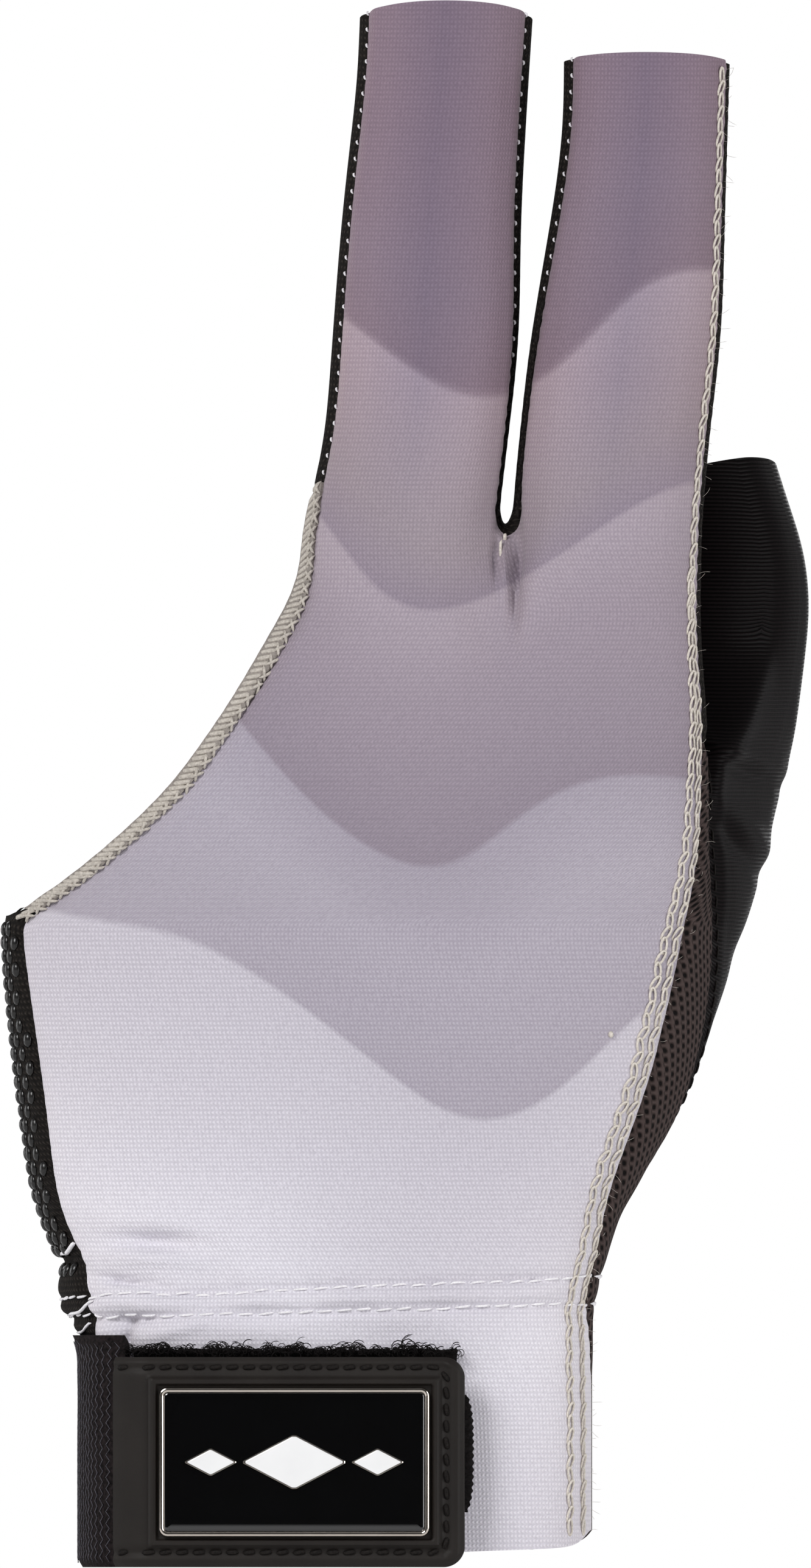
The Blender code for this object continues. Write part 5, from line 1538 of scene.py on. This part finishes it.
# Overlocked threads over the hem, and the crossed row along its inner edge
OVERLOCK_PITCH = 0.00095
low = HAND_LEVELS.index(OPENING_BOTTOM)
hem_keys = [grid_key("hand", row, "edge") for row in range(low, len(HAND_LEVELS))]
hem_keys += [grid_key("middle", row, "edge") for row in (1, 2)]
hem_inner = column_line("hand", 0, low) + column_line("middle", 0, 1, 3)
overlock = Cluster()
rows = [spaced(line, OVERLOCK_PITCH) for line in ([GRID[key] for key in hem_keys], hem_inner)]
count = min(len(row) for row in rows)
for step in range(count):
    (outer_spot, outer_way), (inner_spot, inner_way) = [
        on_skin(row[step * (len(row) - 1) // (count - 1)][0]) for row in rows
    ]
    along = inner_spot - outer_spot + rows[1][step][1] * 0.0007
    out = (outer_way + inner_way).normalized()
    side = out.cross(along.normalized())
    middle = (outer_spot + inner_spot) / 2 + out * 0.00042
    overlock.place(STITCH, middle, along * 1.06, side * 0.00066, out * 0.00050)
for slant, lift in ((32.0, 0.00030), (-32.0, 0.00036)):
    sew(overlock, hem_inner, slant=slant, lift=lift, **STITCHES["hem"])
hem_threads = dress(overlock.piece("hem_overlock"), finishes["hem_thread"], "pale_thread")

# Two chain rows down the right seam, from the index tip to the cuff
def right_row(low_inset, top_inset, top):
    """Line down the back panel, at a distance across from its right edge."""
    line = []
    for height in np.arange(0.0037, top, 0.0015):
        inset = low_inset + (top_inset - low_inset) * ease(height, 0.075, 0.126)
        on_finger = height > SLOT_HEIGHT
        if on_finger:
            section = finger_section("index", height)
            edge_x = section_point(section, FINGER_SEAM_RIGHT).x
        else:
            section = hand_section(height)
            edge_x = smooth_at(HAND, "seam_right", height)
        spot = section_point(section, angle_at(section, edge_x - inset))
        spot.z = height
        if on_finger:
            lean_row("index", height, section, [spot])
        line.append(spot)
    return line


pale = Cluster()
CHAIN_LOOP = loop_form(0.0021, 0.00078, 0.00017)
CHAIN_PITCH = 0.00165
chain(pale, right_row(0.0010, 0.0009, FINGER_LEVELS["index"][-1] - 0.0012), CHAIN_PITCH, CHAIN_LOOP)
chain(pale, right_row(0.0026, 0.0011, 0.1260), CHAIN_PITCH, CHAIN_LOOP)
spot, out = on_skin(Vector((0.0368, -0.02, 0.0660)))
pale.place(BEAD, spot, UP * 0.00045, out.cross(UP) * 0.00035, out * 0.00040)

# The thread's knot and its end, at the slot's foot: x and z, length and thickness
KNOT_ROWS = ((0.0204, 0.1284, 0.0026, 0.00040), (0.0208, 0.1298, 0.0012, 0.00055))
for knot_x, knot_z, long, thick in KNOT_ROWS:
    spot, out = seen(knot_x, knot_z)
    side = out.cross(UP).normalized()
    pale.place(STITCH, spot + out * thick * 0.4, UP * long, side * thick, out * thick)
dress(pale.piece("right_seam_stitches"), finishes["pale_thread"], "pale_thread")

# Small stitches where the fronts of the fingers meet their sides
dots = Cluster()
for name, column, start in (("middle", 0, 2), ("middle", SLOT_COLUMN, 4), ("index", SLOT_COLUMN, 5)):
    sew(dots, column_line(name, column, start), **STITCHES["finger"])
dress(dots.piece("finger_seam_stitches"), finishes["white_thread"], "pale_thread")

# Two stitched rows round the wrist
wrist = Cluster()
for height, slope in WRIST_ROWS:
    section = hand_section(height)
    ring = [section_point(section, angle) for angle in range(-80, 281, 4)]
    for spot in ring:
        spot.z = height + slope * spot.x
    sew(wrist, ring, **STITCHES["wrist"])

# Loose pale threads over the black side: x and z of both ends, and radius
LOOSE_ROWS = (
    (-0.0359, 0.0382, -0.0338, 0.0399, 0.00030),
    (-0.0353, 0.0304, -0.0315, 0.0324, 0.00022),
    (-0.0342, 0.0281, -0.0318, 0.0296, 0.00020),
)
for start_x, start_z, end_x, end_z, radius in LOOSE_ROWS:
    line = []
    for step in range(9):
        share = step / 8
        x = start_x + (end_x - start_x) * share
        z = start_z + (end_z - start_z) * share + 0.0002 * math.sin(share * 9.0)
        hit, out = seen(x, z)
        if hit:
            line.append(hit + out * radius * 0.7)
    if len(line) > 2:
        wrist.tube(line, radius)
dress(wrist.piece("wrist_stitches"), finishes["white_thread"], "pale_thread")

# Dark seams of the black panels
dark = Cluster()
loop_line = [GRID[key] for key, turn in thumb_hole(GRID)]
palm_line = column_line("hand", PALM_RIGHT, 1, HAND_LEVELS.index(THUMB_HOLE_BOTTOM) + 1)
opening_line = column_line("hand", PALM_LEFT, low)
for line, aside in ((loop_line + loop_line[:1], 0.0007), (palm_line, 0.0007), (opening_line, -0.0014)):
    sew(dark, line, aside=aside, **STITCHES["dark"])
for name, last_row, aside in (("middle", 5, 0.0002), ("index", 6, -0.0002)):
    sew(dark, column_line(name, SLOT_COLUMN, 1, last_row), aside=aside, **STITCHES["scallop"])
dress(dark.piece("dark_seam_stitches"), finishes["black_thread"], "grip_cloth")

# Raised beads on the grip cloth, in staggered rows
BEAD_PITCH = 0.0031
BEAD_ROW_STEP = 0.00175
BEAD_FROM_EDGE = 0.0013
BEAD_WIDTH = 0.00072
BEAD_LENGTH = 0.00105
BEAD_HEIGHT = 0.00062
BEAD_SINK = 0.00010
# The side of the cuff beside the strap has no beads: left of this x and below this height
PLAIN_SIDE_X = -0.030
PLAIN_SIDE_TOP = 0.0355
beads = Cluster()
PALM_TREE = BVHTree.FromPolygons(
    [tuple(point) for point in points], quads[panels == PANELS.index("palm_panel")].tolist()
)
low_panel, high_panel = panel_range(points, quads, panels)
uses = np.bincount(quads.ravel(), minlength=len(points))
EDGE_TREE = tree_of(points, np.nonzero((low_panel != high_panel) | ((uses > 0) & (uses < 3)))[0])


def bead_row(ring, shift):
    """Beads at an even pitch along one row of the grip cloth, clear of its edges."""
    for place, ahead in spaced(ring, BEAD_PITCH):
        place = place + ahead * shift
        spot, out = on_skin(place)
        if (PALM_TREE.find_nearest(place)[0] - spot).length > 0.00002:
            continue
        on_plain_side = spot.x < PLAIN_SIDE_X and spot.z < PLAIN_SIDE_TOP
        if on_plain_side or EDGE_TREE.find(spot)[2] < BEAD_FROM_EDGE:
            continue
        side = UP.cross(out).normalized()
        up = out.cross(side)
        origin = spot - out * BEAD_SINK
        beads.place(BEAD, origin, side * BEAD_WIDTH, up * BEAD_LENGTH, out * BEAD_HEIGHT)


turn = 0
for name, height, top in (
    ("hand", 0.0030, SLOT_HEIGHT),
    ("middle", SLOT_HEIGHT + 0.002, FINGER_LEVELS["middle"][-1] - 0.002),
    ("index", SLOT_HEIGHT + 0.002, FINGER_LEVELS["index"][-1] - 0.002),
):
    while height < top:
        if name == "hand":
            section = hand_section(height)
            ring = [section_point(section, angle) for angle in range(152, 321, 4)]
            for spot in ring:
                spot.z = height + tilt_at(height) * spot.x
        else:
            section = finger_section(name, height)
            ring = [section_point(section, angle) for angle in range(128, 235, 6)]
            lean_row(name, height, section, ring)
        bead_row(ring, turn % 2 * BEAD_PITCH / 2)
        height += BEAD_ROW_STEP
        turn += 1
bead_gloss = plain_finish("silicone_bead", ("0b0a0a", "161413"), 0.22, wear=0.10, size=0.002)
bead_piece = dress(beads.piece("grip_beads"), bead_gloss, "grip_cloth")

# The strap: loop pile, woven hook end, elastic, tab and badge

# Steps and distances in metres, and the zigzag's step in degrees
PILE_STEP = 0.0007
FIBRES = 1000
HOOK_RIB = 0.0009
ZIGZAG_ANGLE = 3.9
ZIGZAG_RISE = 0.00072
ELASTIC_MARGIN = 0.0006
TAB_STEP = 0.00026
TAB_EDGE = 0.0011
THREAD_FROM_TOP = 0.0013
THREAD_FROM_RIGHT = 0.0023
THREAD_FROM_BOTTOM = 0.0019
THREAD_BEND = 0.0016
GROOVE = 0.00032


def even(start, end, step):
    """Values from start to end, both included, about a step apart."""
    count = max(round((end - start) / step), 1)
    return [start + (end - start) * i / count for i in range(count + 1)]


def loop_plate():
    """Loop pile on the cuff, with an uneven top."""
    xs = even(TAB_LEFT + LOOP_MARGIN, TAB_RIGHT - LOOP_MARGIN, PILE_STEP)
    zs = even(LOOP_BOTTOM, LOOP_TOP, PILE_STEP)

    def place(i, j, away):
        spot, out = cuff_face(xs[i], zs[j])
        spot = spot + out * away
        spot.z = zs[j]
        if j == len(zs) - 1:
            spot.z += 0.00025 * math.sin(i * 2.1) * math.sin(i * 0.9)
        return spot

    def height(i, j):
        return LAYER_GAP + LOOP_WALL - 0.0002 * ((i * 7 + j * 5) % 3)

    return grid_plate("loop_pile", xs, zs, place, LAYER_GAP, height)


def loop_fibres():
    """Curly loops of pile that stand out along the tab's upper edge."""
    fibres = Cluster()
    for _ in range(FIBRES):
        x = CHANCE.uniform(TAB_LEFT + 0.0008, TAB_RIGHT - 0.0012)
        dense = 0.55 + 0.45 * math.sin(x * 520 + 0.7) * math.sin(x * 1310)
        z = LOOP_TOP - 0.0004 + CHANCE.uniform(-0.0004, 0.0003)
        root, out = cuff_face(x, z)
        spot = root + out * CHANCE.uniform(0.0006, 0.0030)
        spot.z = z
        turn = CHANCE.uniform(0.15, 0.85) * math.pi
        curl = CHANCE.choice((-1, 1)) * CHANCE.uniform(0.35, 0.95)
        step = CHANCE.uniform(0.00026, 0.00054) * dense
        line = []
        for _ in range(8):
            line.append(spot.copy())
            lean = out * CHANCE.uniform(-0.00008, 0.00012)
            spot = spot + Vector((math.cos(turn) * step, 0.0, math.sin(turn) * step)) + lean
            turn += curl
        fibres.tube(line, CHANCE.uniform(0.00004, 0.00007), 4)
    return fibres.piece("loop_fibres")


def hook_plate():
    """Woven hook tape, whose ribbed end shows beside the tab."""
    xs = even(BADGE_LEFT - FRAME_BAND, TAB_RIGHT + HOOK_OVERHANG, 0.0004)
    zs = even(HOOK_BOTTOM, HOOK_BOTTOM + HOOK_HEIGHT, 0.0002)
    low = STACK - LAYER_GAP - HOOK_WALL
    ribs = [0.00012 * math.sin(z * 2 * math.pi / HOOK_RIB) for z in zs]

    def place(i, j, away):
        past = max(xs[i] - TAB_RIGHT, 0.0)
        bow = 0.15 - 0.9 * abs(2 * j / (len(zs) - 1) - 1) ** 4
        spot = strap_face(xs[i] + past * bow, away)
        spot.z = zs[j]
        if i == len(xs) - 1:
            spot.x += ribs[j]
        return spot

    def height(i, j):
        return low + HOOK_WALL - 0.00016 + ribs[j]

    return grid_plate("hook_tape", xs, zs, place, low, height)


ELASTIC_RING = hand_section(TAB_BOTTOM + TAB_HEIGHT / 2)
ELASTIC_START = angle_at(ELASTIC_RING, TAB_LEFT + ELASTIC_OVERLAP)
ELASTIC_TAB_EDGE = angle_at(ELASTIC_RING, TAB_LEFT)
ELASTIC_END = ELASTIC_END_ANGLE - 360.0


def elastic_place(angle, height, away):
    """Point of the elastic at an angle round the cuff and a height, off the cuff by a distance."""
    ring = hand_section(max(height + MOUTH_SLOPE * CUFF_WIDTH / 2, 0.0))
    lift = (LOOP_TO_STRAP - LAYER_GAP) * (1.0 - ease(ELASTIC_TAB_EDGE - angle, 0.0, 30.0))
    point, out = face_at(ring, angle)
    spot = point + out * (away + lift)
    spot.z = height
    return spot


def elastic_band():
    """Knitted elastic, with rounded edges."""
    angles = even(ELASTIC_END, ELASTIC_START, 1.0)
    zs = even(TAB_BOTTOM, TAB_BOTTOM + ELASTIC_HEIGHT, 0.00055)

    def place(i, j, away):
        return elastic_place(angles[i], zs[j], away)

    def height(i, j):
        edge = min(zs[j] - TAB_BOTTOM, TAB_BOTTOM + ELASTIC_HEIGHT - zs[j])
        rounding = 0.0006 * (1.0 - ease(edge, 0.0, 0.0012))
        return LAYER_GAP + ELASTIC_WALL - rounding + 0.00007 * math.sin(i * 1.9) * math.sin(j * 1.7)

    return grid_plate("strap_elastic_knit", angles, zs, place, LAYER_GAP, height)


def elastic_zigzags():
    """Zigzag threads up the elastic."""
    zigzags = Cluster()
    angle = ELASTIC_START - 3.2
    while angle > ELASTIC_END + 1.5:
        line = []
        height = TAB_BOTTOM + ELASTIC_MARGIN
        side = 1
        while height < TAB_BOTTOM + ELASTIC_HEIGHT - ELASTIC_MARGIN:
            turn = side * (1.0 + CHANCE.uniform(-0.2, 0.2))
            line.append(elastic_place(angle + turn, height, LAYER_GAP + ELASTIC_WALL + 0.00004))
            height += ZIGZAG_RISE + CHANCE.uniform(-0.00008, 0.00008)
            side = -side
        zigzags.tube(line, 0.000085)
        angle -= ZIGZAG_ANGLE
    return zigzags.piece("elastic_zigzags")


def tab_rise(x, z, low, high):
    """Height of the tab's face over its back at x and z: rounded edges, thread groove and frame."""
    from_edge = min(TAB_RIGHT - x, high - z, z - low)
    rise = TAB_WALL - 0.0007 * (1.0 - ease(from_edge, 0.0, TAB_EDGE)) ** 2
    from_row = min(abs(TAB_TOP - THREAD_FROM_TOP - z), abs(z - TAB_BOTTOM - THREAD_FROM_BOTTOM))
    if z > TAB_TOP - THREAD_FROM_TOP or z < TAB_BOTTOM + THREAD_FROM_BOTTOM:
        from_side = 1.0
    else:
        from_side = abs(TAB_RIGHT - THREAD_FROM_RIGHT - x)
    if x > TAB_RIGHT - THREAD_FROM_RIGHT:
        from_row = 1.0
    from_row = min(from_row, from_side)
    rise -= GROOVE * math.exp(-((from_row / 0.0005) ** 2))
    beyond = max(BADGE_LEFT - x, x - BADGE_RIGHT, BADGE_BOTTOM - z, z - BADGE_TOP)
    up = ease(FRAME_BAND + BADGE_CLEARANCE - beyond, 0.0, 0.0004)
    down = ease(beyond - BADGE_CLEARANCE, 0.0, 0.0003)
    return rise + FRAME_RISE * up * down


def rubber_tab():
    """Rubber tab with soft edges, a groove for its thread and a raised frame."""
    xs = even(TAB_LEFT, TAB_RIGHT - TAB_CORNER, TAB_STEP)
    xs += [TAB_RIGHT - TAB_CORNER * (1 - math.sin(math.radians(turn))) for turn in range(6, 90, 6)]
    xs.append(TAB_RIGHT - 0.00001)
    zs = even(TAB_BOTTOM, TAB_TOP, TAB_STEP)

    def spread_z(i, j):
        past = max(xs[i] - TAB_RIGHT + TAB_CORNER, 0.0)
        inset = TAB_CORNER - math.sqrt(max(TAB_CORNER ** 2 - past ** 2, 0.0))
        bottom, top = TAB_BOTTOM + inset, TAB_TOP - inset
        return bottom + (top - bottom) * (zs[j] - TAB_BOTTOM) / TAB_HEIGHT, bottom, top

    def place(i, j, away):
        spot = strap_face(xs[i], away)
        spot.z = spread_z(i, j)[0]
        return spot

    def height(i, j):
        return STACK + tab_rise(xs[i], *spread_z(i, j))

    return grid_plate("rubber_tab", xs, zs, place, STACK, height)


def tab_stitches():
    """Black thread row along three sides of the tab."""
    start = TAB_LEFT + 0.0006
    middle_x = TAB_RIGHT - THREAD_FROM_RIGHT - THREAD_BEND
    top = TAB_TOP - THREAD_FROM_TOP
    bottom = TAB_BOTTOM + THREAD_FROM_BOTTOM
    route = [Vector((start, 0.0, top))]
    for middle_z, first in ((top - THREAD_BEND, 90), (bottom + THREAD_BEND, 0)):
        for turn in range(first, first - 91, -30):
            way = math.radians(turn)
            across, rise = THREAD_BEND * math.cos(way), THREAD_BEND * math.sin(way)
            route.append(Vector((middle_x + across, 0.0, middle_z + rise)))
    route.append(Vector((start, 0.0, bottom)))
    rows = Cluster()
    for spot, ahead in spaced(route, 0.0021):
        off = STACK + tab_rise(spot.x, spot.z, TAB_BOTTOM, TAB_TOP)
        origin = strap_face(spot.x, off + 0.00018)
        origin.z = spot.z
        out = (strap_face(spot.x, 1.0) - strap_face(spot.x, 0.0)).normalized()
        ahead = (ahead - out * ahead.dot(out)).normalized()
        along = turned(ahead, out, math.radians(CHANCE.uniform(4, 12)))
        rows.place(STITCH, origin, along * 0.00190, out.cross(along) * 0.00064, out * 0.00060)
    return rows.piece("tab_stitches")


def round_rect(left, right, low, high, radius, steps_each=6):
    """Points round a rectangle with rounded corners, against the clock as seen from the back."""
    points = []
    corners = ((right, high, 0), (left, high, 90), (left, low, 180), (right, low, 270))
    for x, z, first in corners:
        middle_x = x - radius if x == right else x + radius
        middle_z = z - radius if z == high else z + radius
        for step in range(steps_each + 1):
            turn = math.radians(first + 90 * step / steps_each)
            points.append((middle_x + radius * math.cos(turn), middle_z + radius * math.sin(turn)))
    return points


def ringed_piece(name, rings, sharp=None):
    """Closed piece through rings of points, from its back to its face."""
    form = bmesh.new()
    rings = [[form.verts.new(point) for point in ring] for ring in rings]
    for lower, upper in zip(rings, rings[1:]):
        for i, corner in enumerate(lower):
            k = (i + 1) % len(lower)
            form.faces.new((corner, lower[k], upper[k], upper[i]))
    form.faces.new(rings[-1])
    form.faces.new(rings[0][::-1])
    bmesh.ops.recalc_face_normals(form, faces=form.faces)
    return finish_mesh(form, name, sharp)


def badge_plate(name, margin, radius, profile):
    """Closed form over the badge, within a margin: profile gives the inset and height of its rings."""
    rings = []
    for inset, off in profile:
        away = margin + inset
        ring = round_rect(
            BADGE_LEFT + away, BADGE_RIGHT - away, BADGE_BOTTOM + away, BADGE_TOP - away,
            max(radius - inset, 0.00008),
        )
        rings.append([badge_point(x, z, off) for x, z in ring])
    return ringed_piece(name, rings, 38)


def badge_point(x, z, off):
    """Point of the badge at x and z, off its seat in the tab by a distance."""
    spot = strap_face(x, STACK + TAB_WALL + off)
    spot.z = z
    return spot


def lozenge(name, middle_x, length, height, profile):
    """Raised lozenge with small corners: profile gives the inset and height of its rings."""
    middle_z = (BADGE_TOP + BADGE_BOTTOM) / 2
    rings = []
    for inset, off in profile:
        share = 1.0 - 2 * inset * math.hypot(length, height) / (length * height)
        ring = []
        for way in (0.0, math.pi / 2, math.pi, 3 * math.pi / 2):
            for corner in (-0.02, 0.02):
                across = share * length * (math.cos(way) / 2 - corner * math.sin(way))
                rise = share * height * (math.sin(way) / 2 + corner * math.cos(way))
                ring.append(badge_point(middle_x + across, middle_z + rise, off))
        rings.append(ring)
    return ringed_piece(name, rings)


pile = thread("loop_pile", "090808", "1b1818", 0.95, 0.0004, 0.08)
dress(loop_plate(), pile, "loop_pile", "loop_patch")
dress(loop_fibres(), thread("pile_fibre", "0d0b0b", "1f1c1c", 0.8, specular=0.1), "loop_pile")
woven = thread("woven_hook", "0c0b0b", "211d1d", 0.7, 0.0003, 0.12)
dress(hook_plate(), woven, "woven_hook", "hook_strip")
elastic_knit = thread("elastic_knit", "0c0a0a", "262021", 0.9, 0.00045, 0.08)
dress(elastic_band(), elastic_knit, "elastic", "strap_elastic")
dress(elastic_zigzags(), finishes["grey_thread"], "elastic")
dress(rubber_tab(), soft_rubber(), "rubber", "strap_tab")
dress(tab_stitches(), finishes["black_thread"], "rubber")

nickel = plain_finish("polished_nickel", ("c9bfb4", "d8cfc6"), 0.10, 1.0, 0.0, 0.08)
enamel = plain_finish("black_enamel", ("020202", "040405"), 0.05, 0.0, 1.0, 0.02)
white = plain_finish("white_enamel", ("e9e9ea", "f2f2f2"), 0.18, 0.0, 0.6, 0.05)
tray = badge_plate("badge_tray", 0.0, 0.0011, (
    (0.0, LAYER_GAP), (0.0, BADGE_DEPTH - 0.00002), (0.00008, BADGE_DEPTH + 0.00018),
    (0.00022, LAYER_GAP + BADGE_DEPTH), (0.00040, LAYER_GAP + BADGE_DEPTH),
    (0.00054, BADGE_DEPTH + 0.00016), (0.00058, LAYER_GAP + BADGE_FLOOR),
))
dress(tray, nickel, "nickel", "badge_frame")
field_top = LAYER_GAP + BADGE_DEPTH - ENAMEL_DROP
field = badge_plate("enamel_field", 0.00062, 0.0006, (
    (0.0, LAYER_GAP + BADGE_FLOOR + 0.00004), (0.0, field_top - 0.00012),
    (0.00012, field_top - 0.00003), (0.0004, field_top), (0.0012, field_top),
))
dress(field, enamel, "black_enamel", "badge_enamel")
seat = field_top + 0.00002
top = seat + 0.8 * EMBLEM_RISE
rim = ((0.0, seat), (0.0, top - 0.00006), (0.00005, top), (0.00012, top), (0.00014, top - 0.00012))
inside = ((0.000145, top - 0.00014), (0.000145, top - 0.00004), (0.00021, top - 0.00001))
apart = (1 + EMBLEM_SMALL) * EMBLEM_LENGTH / 2 + EMBLEM_GAP
for number, side, share in ((1, -1, EMBLEM_SMALL), (2, 0, 1.0), (3, 1, EMBLEM_SMALL)):
    measures = ((BADGE_LEFT + BADGE_RIGHT) / 2 + side * apart, EMBLEM_LENGTH * share, EMBLEM_HEIGHT * share)
    edge = lozenge(f"emblem_edge_{number}", *measures, rim)
    dress(edge, nickel, "nickel", f"badge_emblem_{number}")
    dress(lozenge(f"emblem_inlay_{number}", *measures, inside), white, "white_enamel")

# Fine fibres along the right seam
fuzz = Cluster()
right_line = column_line("hand", FRONT_CELLS, 0) + column_line("index", FRONT_CELLS, 1)
for spot, ahead in spaced(right_line, 0.0009):
    if CHANCE.random() < 0.25:
        continue
    root, out = on_skin(spot)
    side = out.cross(ahead).normalized()
    root = root + side * CHANCE.uniform(-0.0006, 0.0024)
    way = out * CHANCE.uniform(0.5, 1.2) - side * CHANCE.uniform(-0.2, 1.0)
    way = (way + ahead * CHANCE.uniform(-0.9, 0.9)).normalized()
    bend = Vector([CHANCE.uniform(-0.5, 0.5) for _ in range(3)])
    step = CHANCE.uniform(0.00012, 0.00034)
    line = []
    for _ in range(6):
        line.append(root.copy())
        root = root + way * step
        way = (way + bend * 0.4).normalized()
    fuzz.tube(line, 0.000022, 3)
dress(fuzz.piece("seam_fibres"), finishes["pale_thread"], "pale_thread")

SEWN_ON = {"back_panel": [hem, hem_threads], "palm_panel": [bead_piece]}
for name, piece in cloths.items():
    flat, area = CLOTHS[name][2:]
    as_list(SEWN_ON.get(name, []))

# Floor, light and camera
floor_mesh = bpy.data.meshes.new("floor")
reach = 1.5
floor_mesh.from_pydata(
    [(-reach, -reach, -0.05), (reach, -reach, -0.05), (reach, reach, -0.05), (-reach, reach, -0.05)],
    [], [(0, 1, 2, 3)],
)
floor = link_piece("floor", floor_mesh)
floor.data.materials.append(plain_finish("pale_floor", ("e6e6e6", "eeeeee"), 0.7, size=0.3))

# Soft square lights that face the glove: name, place, power and size
LIGHT_ROWS = (
    ("key_light", (-0.50, -0.70, 0.60), 6.6, 0.40),
    ("fill_light", (0.65, -0.60, 0.20), 3.8, 0.50),
    ("left_edge_light", (-0.70, 0.25, 0.15), 1.5, 0.45),
    ("right_edge_light", (0.75, 0.35, 0.30), 0.9, 0.45),
    ("back_light", (0.05, 0.85, 0.35), 3.4, 0.55),
)
for name, place, energy, size in LIGHT_ROWS:
    data = bpy.data.lights.new(name, "AREA")
    data.energy = energy
    data.size = size
    lamp = bpy.data.objects.new(name, data)
    lamp.location = place
    aim = Vector((0.01, 0.0, 0.1)) - lamp.location
    lamp.rotation_euler = aim.to_track_quat("-Z", "Y").to_euler()
    bpy.context.scene.collection.objects.link(lamp)

world = bpy.data.worlds.new("studio")
world.use_nodes = True
bpy.context.scene.world = world
tree = world.node_tree
surround = tree.nodes["Background"]
surround.inputs["Color"].default_value = (0.93, 0.94, 0.96, 1.0)
around = tree.nodes.new("ShaderNodeTexCoord")
parts = tree.nodes.new("ShaderNodeSeparateXYZ")
tree.links.new(around.outputs["Generated"], parts.inputs[0])
strength = tree.nodes.new("ShaderNodeMapRange")
for socket, value in zip(strength.inputs[1:5], (-0.80, -0.30, 0.03, 0.27)):
    socket.default_value = value
tree.links.new(parts.outputs["Y"], strength.inputs["Value"])
tree.links.new(strength.outputs["Result"], surround.inputs["Strength"])
bright = tree.nodes.new("ShaderNodeBackground")
bright.inputs["Color"].default_value = (1.0, 1.0, 1.0, 1.0)
bright.inputs["Strength"].default_value = 1.0
ray = tree.nodes.new("ShaderNodeLightPath")
either = tree.nodes.new("ShaderNodeMixShader")
tree.links.new(ray.outputs["Is Camera Ray"], either.inputs[0])
tree.links.new(surround.outputs[0], either.inputs[1])
tree.links.new(bright.outputs[0], either.inputs[2])
tree.links.new(either.outputs[0], tree.nodes["World Output"].inputs["Surface"])

camera_data = bpy.data.cameras.new("camera")
camera_data.type = "ORTHO"
camera_data.ortho_scale = 0.2
camera = bpy.data.objects.new("camera", camera_data)
camera.location = (0.0082, -0.9, 0.0985)
camera.rotation_euler = (math.radians(90), 0.0, 0.0)
bpy.context.scene.collection.objects.link(camera)
bpy.context.scene.camera = camera
bpy.context.scene.view_settings.view_transform = "Standard"

bpy.data.meshes.remove(fine_skin)
